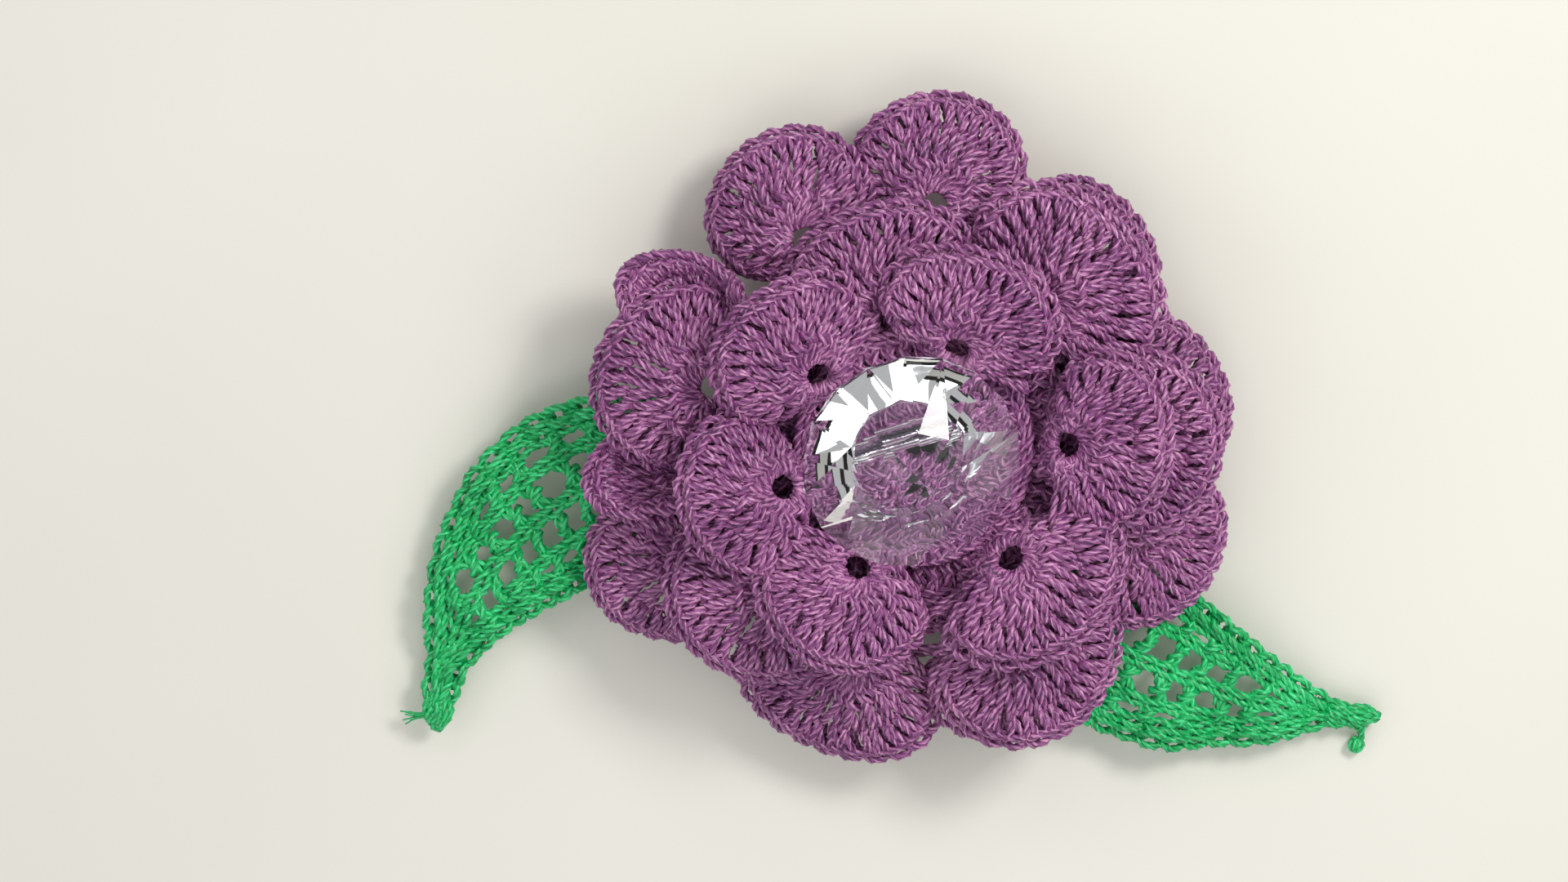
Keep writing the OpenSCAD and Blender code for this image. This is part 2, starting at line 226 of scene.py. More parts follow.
def node_box(node: str) -> tuple[np.ndarray, np.ndarray]:
    """Lowest and highest corner of a frame node in millimetres."""
    low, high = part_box(node)
    return np.array(low) / MM, np.array(high) / MM


def settle(obj: bpy.types.Object, node: str) -> bpy.types.Object:
    """Rides a piece on the root body, in place of the frame node it stands for.

    Args:
        obj: The piece.
        node: Frame node that it replaces.

    Returns:
        The same piece.
    """
    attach(obj, "root")
    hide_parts(node)
    return obj


# -------------------------------------------------------------------------- materials


def feed(
    tree: bpy.types.NodeTree, node: bpy.types.Node, inputs: dict[str | int, Any]
) -> None:
    """Sets a node's inputs.

    Args:
        tree: Node tree that holds the node.
        node: The node.
        inputs: Socket name or number to a value, or to the output socket to link.
    """
    for key, value in inputs.items():
        if isinstance(value, bpy.types.NodeSocket):
            tree.links.new(value, node.inputs[key])
        else:
            node.inputs[key].default_value = value


def add_node(
    tree: bpy.types.NodeTree,
    kind: str,
    inputs: dict[str | int, Any] | None = None,
    **settings: Any,
) -> bpy.types.Node:
    """Adds a node with its settings, values and links.

    Args:
        tree: Node tree to add to.
        kind: Blender's node type name.
        inputs: Socket name or number to a value, or to the output socket to link.
        settings: Properties set on the node itself.

    Returns:
        The new node.
    """
    node = tree.nodes.new(kind)
    for key, value in settings.items():
        setattr(node, key, value)
    feed(tree, node, inputs or {})
    return node


def add_ramp(
    tree: bpy.types.NodeTree, source: bpy.types.NodeSocket, *stops: tuple[float, str]
) -> bpy.types.NodeSocket:
    """Adds a colour ramp.

    Args:
        tree: Node tree to add to.
        source: What picks the colour.
        stops: Pairs of a place from 0 to 1 and a hex colour.

    Returns:
        The ramp's colour output.
    """
    node = add_node(tree, "ShaderNodeValToRGB", {"Fac": source})
    while len(node.color_ramp.elements) < len(stops):
        node.color_ramp.elements.new(0.5)
    for element, (place, colour) in zip(node.color_ramp.elements, stops):
        element.position = place
        element.color = linear(colour)
    return node.outputs["Color"]


class Finish(ABC):
    """A surface finish that turns into one Blender material.

    Attributes:
        name: Material name.
    """

    name: str

    def material(self) -> bpy.types.Material:
        """Makes the material, with a Principled shader on its output."""
        made = bpy.data.materials.new(self.name)
        made.use_nodes = True
        tree = made.node_tree
        tree.nodes.clear()
        shader = add_node(tree, "ShaderNodeBsdfPrincipled")
        self.dress(tree, shader)
        surface = self.surface(tree, shader)
        add_node(tree, "ShaderNodeOutputMaterial", {"Surface": surface})
        return made

    @abstractmethod
    def dress(self, tree: bpy.types.NodeTree, shader: bpy.types.Node) -> None:
        """Adds the finish's own nodes and values."""

    def surface(
        self, tree: bpy.types.NodeTree, shader: bpy.types.Node
    ) -> bpy.types.NodeSocket:
        """Returns the socket that goes on the output: the shader's own as a rule."""
        return shader.outputs["BSDF"]


@dataclass(frozen=True)
class MercerisedCotton(Finish):
    """Mercerised cotton: caustic-swollen fibres give each ply a soft silky glint.

    Attributes:
        name: Material name.
        deep: Darkest colour: painted shade in the grooves between the plies, with the fibres'
            own darker tone.
        body: Main colour.
        bright: Lightest colour: painted highlight on the tops of the plies, with the fibres'
            own lighter tone.
        roughness: Middle roughness of the yarn.
        sheen: Weight of the fuzz's sheen.
        sheen_tint: Colour of the sheen.
        bump: Depth of the fibre bump.
        ply: Strength of the painted highlight on a ply's top and the painted shade in the
            groove beside it.
        uneven: How far the dye's slow change from place to place moves the tone.
    """

    name: str
    deep: str
    body: str
    bright: str
    roughness: float = 0.36
    sheen: float = 0.25
    sheen_tint: str = "E9B6E0"
    bump: float = 0.5
    ply: float = 0.16
    uneven: float = 0.35

    def dress(self, tree: bpy.types.NodeTree, shader: bpy.types.Node) -> None:
        """Fibre streaks along the yarn, a slow change of dye from place to place, and painted
        light and shade on the plies.
        """
        uv = add_node(tree, "ShaderNodeUVMap", uv_map="yarn").outputs["UV"]
        # UV is in mm; fibres of about 0.06 mm are drawn 0.15 mm wide so that they show
        streaks = add_node(
            tree,
            "ShaderNodeMapping",
            {"Vector": uv, "Scale": (0.9, 7.0, 1.0), "Rotation": (0, 0, 0.12)},
        )
        fibre = add_node(
            tree,
            "ShaderNodeTexNoise",
            {"Vector": streaks.outputs["Vector"], "Scale": 1.0, "Detail": 3.0},
            noise_dimensions="2D",
        )
        place = add_node(tree, "ShaderNodeTexCoord").outputs["Object"]
        # the dye changes over about 7 mm
        dye = add_node(
            tree,
            "ShaderNodeTexNoise",
            {"Vector": place, "Scale": 150.0, "Detail": 2.0},
        )
        mixed = add_node(
            tree,
            "ShaderNodeMath",
            {0: dye.outputs["Fac"], 1: self.uneven, 2: fibre.outputs["Fac"]},
            operation="MULTIPLY_ADD",
        )
        # the cosine of v, once for each ply, is a ply's height; it paints a highlight on the
        # ply tops and shade in the grooves
        around = add_node(tree, "ShaderNodeSeparateXYZ", {"Vector": uv}).outputs["Y"]
        turn = add_node(
            tree, "ShaderNodeMath", {0: around, 1: TAU * PLIES / YARN_V}, operation="MULTIPLY"
        )
        ply = add_node(tree, "ShaderNodeMath", {0: turn.outputs[0]}, operation="COSINE")
        ply_shaded_tone = add_node(
            tree,
            "ShaderNodeMath",
            {0: ply.outputs[0], 1: self.ply, 2: mixed.outputs[0]},
            operation="MULTIPLY_ADD",
        )
        tone = add_node(
            tree,
            "ShaderNodeMapRange",
            {"Value": ply_shaded_tone.outputs[0], "From Min": 0.35, "From Max": 1.05},
        )
        # the ramp runs from painted shade in the ply grooves to painted highlight on the ply
        # tops, moved by the fibres and the dye
        colour = add_ramp(
            tree,
            tone.outputs["Result"],
            (0.0, self.deep),
            (0.45, self.body),
            (1.0, self.bright),
        )
        gloss = add_node(
            tree,
            "ShaderNodeMapRange",
            {
                "Value": fibre.outputs["Fac"],
                "To Min": self.roughness - 0.08,
                "To Max": self.roughness + 0.12,
            },
        )
        bump = add_node(
            tree,
            "ShaderNodeBump",
            {
                "Height": fibre.outputs["Fac"],
                "Strength": self.bump,
                "Distance": 0.08 * MM,
            },
        )
        feed(
            tree,
            shader,
            {
                "Base Color": colour,
                "Roughness": gloss.outputs["Result"],
                "Normal": bump.outputs["Normal"],
                "IOR": 1.53,
                "Sheen Weight": self.sheen,
                "Sheen Roughness": 0.4,
                "Sheen Tint": linear(self.sheen_tint),
            },
        )


@dataclass(frozen=True)
class PressedFelt(Finish):
    """Pressed wool-blend felt: matted fibres, no gloss, a faint halo of fuzz.

    Attributes:
        name: Material name.
        deep: Colour between the tufts, where the bump is low: painted shade, with the felt's
            own uneven tone.
        body: Main colour.
        bright: Colour on the tufts, where the bump is high: painted light, with the felt's
            own uneven tone.
        fuzz: Colour of the halo.
    """

    name: str = "pressed_wool_felt"
    deep: str = "2C1532"
    body: str = "47264E"
    bright: str = "6B4473"
    fuzz: str = "B79CC0"

    def dress(self, tree: bpy.types.NodeTree, shader: bpy.types.Node) -> None:
        """One matted fibre noise for colour and bump."""
        place = add_node(tree, "ShaderNodeTexCoord").outputs["Object"]
        # felted fibres lie in tufts about 0.5 mm long
        mat = add_node(
            tree,
            "ShaderNodeTexNoise",
            {"Vector": place, "Scale": 1800.0, "Detail": 6.0, "Distortion": 1.4},
        )
        # the colour follows the bump's noise: painted shade in its hollows, painted light on
        # its tufts
        colour = add_ramp(
            tree,
            mat.outputs["Fac"],
            (0.3, self.deep),
            (0.52, self.body),
            (0.75, self.bright),
        )
        bump = add_node(
            tree,
            "ShaderNodeBump",
            {
                "Height": mat.outputs["Fac"],
                "Strength": 0.8,
                "Distance": 0.25 * MM,
            },
        )
        feed(
            tree,
            shader,
            {
                "Base Color": colour,
                "Normal": bump.outputs["Normal"],
                "Roughness": 0.95,
                "Specular IOR Level": 0.2,
                "Sheen Weight": 0.5,
                "Sheen Roughness": 0.6,
                "Sheen Tint": linear(self.fuzz),
            },
        )


@dataclass(frozen=True)
class NickelPlate(Finish):
    """Nickel-plated steel, lightly satined in a tumbling barrel: soft warm-grey gloss.

    Attributes:
        name: Material name.
        dull: Darkest tone of the plate.
        body: Main tone.
        bright: Lightest tone.
    """

    name: str = "tumbled_nickel_plate"
    dull: str = "B7B3AA"
    body: str = "C9C6BE"
    bright: str = "D6D4CE"

    def dress(self, tree: bpy.types.NodeTree, shader: bpy.types.Node) -> None:
        """Fine rubbing marks in the roughness, with a trace of bump."""
        place = add_node(tree, "ShaderNodeTexCoord").outputs["Object"]
        # marks 1.1 mm long and 0.17 mm across, wider than real ones so that they show
        stretched = add_node(
            tree, "ShaderNodeMapping", {"Vector": place, "Scale": (900.0, 6000.0, 6000.0)}
        )
        rub = add_node(
            tree,
            "ShaderNodeTexNoise",
            {"Vector": stretched.outputs["Vector"], "Scale": 1.0, "Detail": 4.0},
        )
        # the plate's tone changes over about 2.5 mm
        cloud = add_node(
            tree, "ShaderNodeTexNoise", {"Vector": place, "Scale": 400.0, "Detail": 2.0}
        )
        colour = add_ramp(
            tree, cloud.outputs["Fac"], (0.3, self.dull), (0.6, self.body), (0.8, self.bright)
        )
        gloss = add_node(
            tree,
            "ShaderNodeMapRange",
            {"Value": rub.outputs["Fac"], "To Min": 0.16, "To Max": 0.36},
        )
        bump = add_node(
            tree,
            "ShaderNodeBump",
            {
                "Height": rub.outputs["Fac"],
                "Strength": 0.15,
                "Distance": 0.02 * MM,
            },
        )
        feed(
            tree,
            shader,
            {
                "Base Color": colour,
                "Roughness": gloss.outputs["Result"],
                "Normal": bump.outputs["Normal"],
                "Metallic": 1.0,
            },
        )


@dataclass(frozen=True)
class ClearAcrylic(Finish):
    """Moulded and polished clear acrylic: bright facets, faint marks of the moulding.

    Attributes:
        name: Material name.
        body: Tint of the acrylic.
        passed: Share of a lamp's light that each skin passes on to what is behind it.
    """

    name: str = "moulded_clear_acrylic"
    body: str = "FBFDFF"
    passed: str = "D0D0D0"

    def dress(self, tree: bpy.types.NodeTree, shader: bpy.types.Node) -> None:
        """Full transmission, with slow flow marks that bend the polish a little."""
        place = add_node(tree, "ShaderNodeTexCoord").outputs["Object"]
        # flow marks about 4 mm apart
        flow = add_node(
            tree, "ShaderNodeTexNoise", {"Vector": place, "Scale": 260.0, "Detail": 2.0}
        )
        gloss = add_node(
            tree,
            "ShaderNodeMapRange",
            {"Value": flow.outputs["Fac"], "To Min": 0.0, "To Max": 0.04},
        )
        bump = add_node(
            tree,
            "ShaderNodeBump",
            {
                "Height": flow.outputs["Fac"],
                "Strength": 0.1,
                "Distance": 0.1 * MM,
            },
        )
        feed(
            tree,
            shader,
            {
                "Base Color": linear(self.body),
                "Roughness": gloss.outputs["Result"],
                "Normal": bump.outputs["Normal"],
                "Transmission Weight": 1.0,
                "IOR": 1.49,
            },
        )

    def surface(
        self, tree: bpy.types.NodeTree, shader: bpy.types.Node
    ) -> bpy.types.NodeSocket:
        """Lets the lamps' light through to the cotton underneath, less a little."""
        clear = add_node(tree, "ShaderNodeBsdfTransparent", {"Color": linear(self.passed)})
        path = add_node(tree, "ShaderNodeLightPath")
        both = add_node(
            tree,
            "ShaderNodeMixShader",
            {
                0: path.outputs["Is Shadow Ray"],
                1: shader.outputs["BSDF"],
                2: clear.outputs["BSDF"],
            },
        )
        return both.outputs["Shader"]


@dataclass(frozen=True)
class PaleFloor(Finish):
    """Matt painted board, a warm pale cream with the faintest mottling.

    Attributes:
        name: Material name.
        deep: Darker of the two creams.
        body: Lighter of the two.
    """

    name: str = "matt_painted_board"
    deep: str = "E2E0D7"
    body: str = "E7E5DD"

    def dress(self, tree: bpy.types.NodeTree, shader: bpy.types.Node) -> None:
        """One slow noise between two close creams."""
        place = add_node(tree, "ShaderNodeTexCoord").outputs["Object"]
        # mottling about 80 mm across
        cloud = add_node(
            tree, "ShaderNodeTexNoise", {"Vector": place, "Scale": 12.0, "Detail": 3.0}
        )
        colour = add_ramp(tree, cloud.outputs["Fac"], (0.35, self.deep), (0.7, self.body))
        feed(
            tree,
            shader,
            {"Base Color": colour, "Roughness": 0.9, "Specular IOR Level": 0.1},
        )


# ------------------------------------------------------------------------------- yarn

# Gives v at x millimetres along a row from u
Row = Callable[[np.ndarray, np.ndarray], np.ndarray]


class Yarnwork:
    """Yarn paths gathered into one mesh of closed three-ply tubes.

    Attributes:
        rng: Seeded source of every small irregularity of the piece.
    """

    def __init__(self, seed: int) -> None:
        """Starts an empty piece with its own seed.

        Args:
            seed: Seed of the piece's irregularities.
        """
        self.rng = np.random.default_rng(seed)
        self._points: list[np.ndarray] = []
        self._quads: list[np.ndarray] = []
        self._caps: list[np.ndarray] = []
        self._quad_uv: list[np.ndarray] = []
        self._cap_uv: list[np.ndarray] = []
        self._count = 0

    def lay(
        self,
        paths: np.ndarray,
        radius: float | np.ndarray = 0.3,
        sides: int = 9,
        pitch: float = 3.0,
        lobe: float = 0.2,
    ) -> None:
        """Lays yarn along paths.

        A ring of points is carried along each path without twisting it, then turned by
        one turn each pitch. The ring's radius swells once for each ply, by the cosine
        of three times the angle, so the plies wind round the yarn as real ridges.

        Args:
            paths: Array (yarns, points, 3) in millimetres.
            radius: Yarn radius, one number or an array that fits (yarns, points).
            sides: Points round the yarn, a multiple of three.
            pitch: Length of one turn of the ply twist.
            lobe: How far the plies stand out, as a share of the radius.
        """
        count, length = paths.shape[:2]
        if count == 0:
            return
        step = np.diff(paths, axis=1)
        arc = np.concatenate(
            [np.zeros((count, 1)), np.cumsum(np.linalg.norm(step, axis=-1), axis=1)],
            axis=1,
        )
        along = unit(np.gradient(paths, axis=1))
        across = np.empty_like(paths)
        start = np.eye(3)[np.argmin(np.abs(along[:, 0]), axis=-1)]
        for j in range(length):
            before = start if j == 0 else across[:, j - 1]
            lean = np.sum(before * along[:, j], axis=-1, keepdims=True)
            across[:, j] = unit(before - lean * along[:, j])
        side = np.cross(along, across)
        phase = self.rng.uniform(0, TAU, (count, 1))
        turn = (phase + TAU * arc / pitch)[:, :, None]
        angle = TAU * np.arange(sides) / sides
        swell = np.broadcast_to(radius, (count, length))[:, :, None] * (
            1 + lobe * np.cos(PLIES * angle)
        )
        ring = paths[:, :, None] + swell[..., None] * (
            np.cos(angle + turn)[..., None] * across[:, :, None]
            + np.sin(angle + turn)[..., None] * side[:, :, None]
        )
        index = self._count + np.arange(count * length * sides).reshape(
            count, length, sides
        )
        following = np.roll(index, -1, axis=2)
        quads = np.stack(
            [index[:, :-1], following[:, :-1], following[:, 1:], index[:, 1:]], axis=-1
        )
        # every yarn starts somewhere else along the fibre pattern
        offset = self.rng.uniform(0, 50, (count, 1))
        u = np.broadcast_to((arc + offset)[:, :, None], ring.shape[:3])
        v = np.broadcast_to(np.arange(sides) / sides * YARN_V, ring.shape[:3])
        width = YARN_V / sides
        quad_uv = np.stack(
            [
                np.stack([u[:, :-1], v[:, :-1]], axis=-1),
                np.stack([u[:, :-1], v[:, :-1] + width], axis=-1),
                np.stack([u[:, 1:], v[:, 1:] + width], axis=-1),
                np.stack([u[:, 1:], v[:, 1:]], axis=-1),
            ],
            axis=-2,
        )
        caps = np.concatenate([index[:, 0, ::-1], index[:, -1]], axis=0)
        cap_uv = np.concatenate(
            [
                np.stack([u[:, 0, ::-1], v[:, 0, ::-1]], axis=-1),
                np.stack([u[:, -1], v[:, -1]], axis=-1),
            ],
            axis=0,
        )
        self._points.append(ring.reshape(-1, 3))
        self._quads.append(quads.reshape(-1, 4))
        self._quad_uv.append(quad_uv.reshape(-1, 2))
        self._caps.append(caps)
        self._cap_uv.append(cap_uv.reshape(-1, 2))
        self._count += count * length * sides

    def finish(self, name: str, material: bpy.types.Material) -> bpy.types.Object:
        """Turns the yarn laid so far into one mesh object.

        Args:
            name: Name of the piece.
            material: Yarn's material.

        Returns:
            The new object.
        """
        quads = np.concatenate(self._quads)
        sizes = np.concatenate(
            [np.full(len(quads), 4)] + [np.full(len(c), c.shape[1]) for c in self._caps]
        )
        loops = np.concatenate([quads.ravel()] + [c.ravel() for c in self._caps])
        starts = np.concatenate([[0], np.cumsum(sizes)[:-1]])
        uv = np.concatenate(self._quad_uv + self._cap_uv)
        return mesh_object(
            name, np.concatenate(self._points), loops, starts, material, uv
        )


class Cloth(ABC):
    """A curved surface that stitches are worked on.

    u runs along a row of stitches and v across the rows; a stitch's own points are
    given as x millimetres along the row and h millimetres off the surface.
    """

    @abstractmethod
    def surface(self, u: np.ndarray, v: np.ndarray) -> np.ndarray:
        """Point of the surface at (u, v), in millimetres."""

    @abstractmethod
    def slide(self, u: np.ndarray, v: np.ndarray, x: np.ndarray) -> np.ndarray:
        """The u that lies x millimetres along the row from (u, v)."""

    def place(
        self, u: np.ndarray, v: np.ndarray, x: np.ndarray, h: np.ndarray
    ) -> np.ndarray:
        """Point x along the row and h off the surface from (u, v).

        The normal is the cross product of the surface's two slopes, each taken over a
        small step.

        Args:
            u: Places along the row.
            v: Places across the rows.
            x: Millimetres along the row.
            h: Millimetres off the surface.

        Returns:
            Points, with the broadcast shape of the inputs and a last axis of three.
        """
        u, v, x, h = np.broadcast_arrays(u, v, x, h)
        step = 0.1
        at = self.slide(u, v, x)
        here = self.surface(at, v)
        ahead = self.surface(self.slide(at, v, np.full_like(v, step, dtype=float)), v)
        out = self.surface(at, v + step)
        return here + unit(np.cross(out - here, ahead - here)) * h[..., None]


class RadialCloth(Cloth):
    """A cloth worked in the round: u is an angle and v the distance from the middle."""

    def slide(self, u: np.ndarray, v: np.ndarray, x: np.ndarray) -> np.ndarray:
        """Angle x millimetres further round the middle."""
        return u + x / np.maximum(v, LEAST_REACH)


class Facing(Enum):
    """Which face of the fabric a stitch is worked on."""

    FRONT = 1
    BACK = -1


@dataclass
class Hook:
    """Works crochet stitches on a cloth, as yarn laid into a yarnwork.

    Attributes:
        work: Where the yarn goes.
        cloth: Surface the stitches follow.
        radius: Yarn radius.
        sides: Points round the yarn.
        ring_step: Distance between rings along a tall stitch.
    """

    work: Yarnwork
    cloth: Cloth
    radius: float = 0.38
    sides: int = 9
    ring_step: float = 0.36

    def stitches(
        self,
        u: np.ndarray,
        v: np.ndarray,
        x: np.ndarray,
        h: np.ndarray,
        samples: int,
        loose: float = 0.03,
    ) -> None:
        """Lays one yarn for each row of control points, with a hand's unevenness.

        Args:
            u: Places along the row, (stitches, controls) or what broadcasts to it.
            v: Places across the rows.
            x: Millimetres along the row.
            h: Millimetres off the surface.
            samples: Rings along each yarn.
            loose: How far a control strays, in millimetres.
        """
        u, v, x, h = np.broadcast_arrays(u, v, x, h)
        stray = self.work.rng.normal(0, loose, (2,) + x.shape)
        control = self.cloth.place(u, v, x + stray[0], h + stray[1])
        self.work.lay(smooth(control, samples), self.radius, self.sides)

    def posts(
        self,
        u: np.ndarray,
        low: np.ndarray,
        high: np.ndarray,
        lean: float | np.ndarray = 0.0,
        spread: tuple[float, float] = (0.14, 0.5),
        round_hub: bool = False,
        back: bool = True,
    ) -> None:
        """Works tall stitches: two strands that cross once, a strand behind, one wrap.

        Each front strand swings from one side of the post to the other as the cosine of
        half a turn, and rises or dips as its sine, while the post widens from foot to
        head. Round a hub, three more controls take the strand up through the hole.

        Args:
            u: Foot of each post along the row.
            low: Foot across the rows.
            high: Head across the rows.
            lean: How far the head lies along the row from the foot.
            spread: Half the post's width at the foot and at the head.
            round_hub: Whether the feet wrap round the edge of a hole.
            back: Whether the strand behind is worked.
        """
        u, low, high = (np.asarray(a, float)[:, None] for a in (u, low, high))
        rng = self.work.rng
        lean = np.broadcast_to(lean, u[:, 0].shape)[:, None]
        lean = lean + rng.normal(0, 0.16, u.shape)
        t = np.linspace(0, 1, 6)[None]
        rows = low + (high - low) * t
        half = spread[0] + (spread[1] - spread[0]) * t**1.1
        half = half * rng.uniform(0.8, 1.2, u.shape)
        # height off the cloth from foot to head, which is drawn down into the next row
        ends = np.array([-0.05, 0.26, 0.34, 0.34, 0.22, -0.3])
        longest = float(np.max(np.abs(high - low)))
        samples = int(np.ceil(longest / self.ring_step)) + 5
        for way in (-1, 1):
            x = way * half * np.cos(math.pi * t) + lean * t
            h = ends + way * 0.12 * np.sin(math.pi * t)
            v = rows
            if round_hub:
                foot = np.array([[0.5, -0.02, 0.12]])
                v = np.concatenate([low + foot, rows[:, 1:]], axis=1)
                x = np.concatenate([x[:, :1], x[:, :1], x[:, :1], x[:, 1:]], axis=1)
                lift = np.array([[-0.42, -0.05, 0.3]]) + np.zeros_like(low)
                h = np.concatenate(
                    [lift, np.broadcast_to(h, (len(u), 6))[:, 1:]], axis=1
                )
            self.stitches(u, v, x, h, samples + (4 if round_hub else 0), loose=0.05)
        if back:
            between = np.median(np.diff(u[:, 0])) / 2 if len(u) > 1 else 0.0
            self.stitches(u + between, rows, lean * t, ends * -0.9, samples - 2)
        # the wrap goes over the post from lower left to upper right
        at = 0.42 + rng.normal(0, 0.05, u.shape)
        middle = low + (high - low) * at
        width = spread[0] + (spread[1] - spread[0]) * at + 0.34
        x = np.array([[-1.0, -0.75, 0.0, 0.75, 1.0]]) * width + lean * at
        v = middle + np.array([[-0.55, -0.42, 0.0, 0.42, 0.55]])
        h = np.array([[-0.15, 0.32, 0.7, 0.32, -0.15]])
        self.stitches(u, v, x, h, 9, loose=0.05)

    def vees(
        self,
        u: np.ndarray,
        low: np.ndarray,
        high: np.ndarray,
        facing: Facing = Facing.FRONT,
        half: float = 0.42,
        lean: float = 0.5,
    ) -> None:
        """Works short stitches: two legs that open from one foot, on one face.

        Args:
            u: Foot of each stitch along the row.
            low: Foot across the rows.
            high: Head across the rows.
            facing: Face that the legs lie on.
            half: Half the width between the heads.
            lean: How far the heads lie along the row from the foot.
        """
        u, low, high = (np.asarray(a, float)[:, None] for a in (u, low, high))
        # shares of the height from foot to head, and the height off the cloth at each
        t = np.array([[-0.1, 0.12, 0.5, 0.85, 1.08]])
        lift = np.array([[-0.1, 0.42, 0.62, 0.5, 0.0]]) * facing.value
        for way in (-1, 1):
            x = way * half * np.clip(t, 0.05, 1) ** 0.8 + lean * t
            self.stitches(u, low + (high - low) * t, x, lift, 8, loose=0.06)

    def chain(
        self,
        u: np.ndarray,
        rim: Row,
        pitch: float,
        tilt: float = 0.0,
        girth: float = 1.0,
    ) -> None:
        """Works a chain: drop-shaped links, each coming up out of the one before.

        A link's two legs start together inside the last link, open to their widest
        before the middle, and close over its end. The link's flat side is tipped by
        tilt, so that on a rim it faces partly outward.

        Args:
            u: Start of each link along the row.
            rim: Function of (u, x) that gives v at x along from u.
            pitch: Length from link to link.
            tilt: Angle by which the chain is tipped outward, in degrees.
            girth: Factor on the link's width and height.
        """
        u = np.asarray(u, float)[:, None]
        # one leg's controls: shares of the pitch, half the link's width and the height
        along = np.array([-0.18, 0.12, 0.45, 0.9, 1.22, 1.36])
        wide = np.array([0.08, 0.16, 0.34, 0.36, 0.2, 0.02]) * girth
        high = np.array([-0.28, 0.1, 0.3, 0.24, -0.06, -0.24]) * girth
        x = np.broadcast_to(along * pitch, (len(u), len(along)))
        c, s = math.cos(math.radians(tilt)), math.sin(math.radians(tilt))
        for way in (-1, 1):
            v = rim(u, x) + way * wide * c + high * s
            h = high * c - way * wide * s
            self.stitches(u, v, x, h, 11, loose=0.04)


# ----------------------------------------------------------------------------- petals


@dataclass(frozen=True)
class TierShape:
    """Sizes shared by the petals of one tier, in millimetres and degrees.

    Attributes:
        name: Start of the frame's node names.
        count: Number of petals.
        diameter: Petal's diameter.
        reach: From the hub to the petal's middle.
        pitch: Rise of the petal from its hub.
        cup: Rise of the rim above the petal's middle.
        bulge: Swell of the fabric between the hub and the rim.
        roll: How far the rim rolls down behind the petal.
        ruffle: Depth of the waves along the rim.
        press: How far a rim pressed by its neighbour stands up.
        tuck: How far the fan's two ends dive under the neighbouring petals.
        widen: How much wider the worked petal spreads than the round solid.
        curled: Petals squeezed to a narrow cup, as index to the height of the rim.
        broad: Petals that spread wider still, as index to the factor.
    """

    name: str
    count: int
    diameter: float
    reach: float
    pitch: float
    cup: float
    bulge: float
    roll: float
    ruffle: float
    press: float
    tuck: float
    widen: float
    curled: dict[int, float] = field(default_factory=dict)
    broad: dict[int, float] = field(default_factory=dict)


# A petal's share of the circle is widened by this, so that it laps its neighbours
LAP = 1.22
# Sharpness of the corner where a petal's round outline meets its border
CORNER = 8.0
# Angle from the petal's heading at which its outline starts to draw in, in radians
ENDS_FROM = 1.2
# Angle over which it draws in fully
ENDS_OVER = 0.9

FRONT = TierShape(
    name="front_petal",
    count=6,
    diameter=14.1,
    reach=2.35,
    pitch=20,
    cup=0.8,
    bulge=2.1,
    roll=1.0,
    ruffle=0.95,
    press=2.2,
    tuck=1.7,
    widen=1.16,
    broad={2: 1.36},
)
MIDDLE = TierShape(
    name="middle_petal",
    count=6,
    diameter=15.9,
    reach=2.6,
    pitch=8,
    cup=0.4,
    bulge=1.9,
    roll=0.8,
    ruffle=1.15,
    press=2.6,
    tuck=1.5,
    widen=1.15,
    broad={3: 1.3},
)
BACK = TierShape(
    name="back_petal",
    count=10,
    diameter=15.3,
    reach=2.55,
    pitch=-6,
    cup=0.0,
    bulge=1.5,
    roll=0.2,
    ruffle=1.1,
    press=3.0,
    tuck=1.1,
    widen=1.06,
    curled={8: 5.5, 9: 5.0},
    broad={1: 1.25, 2: 1.22},
)


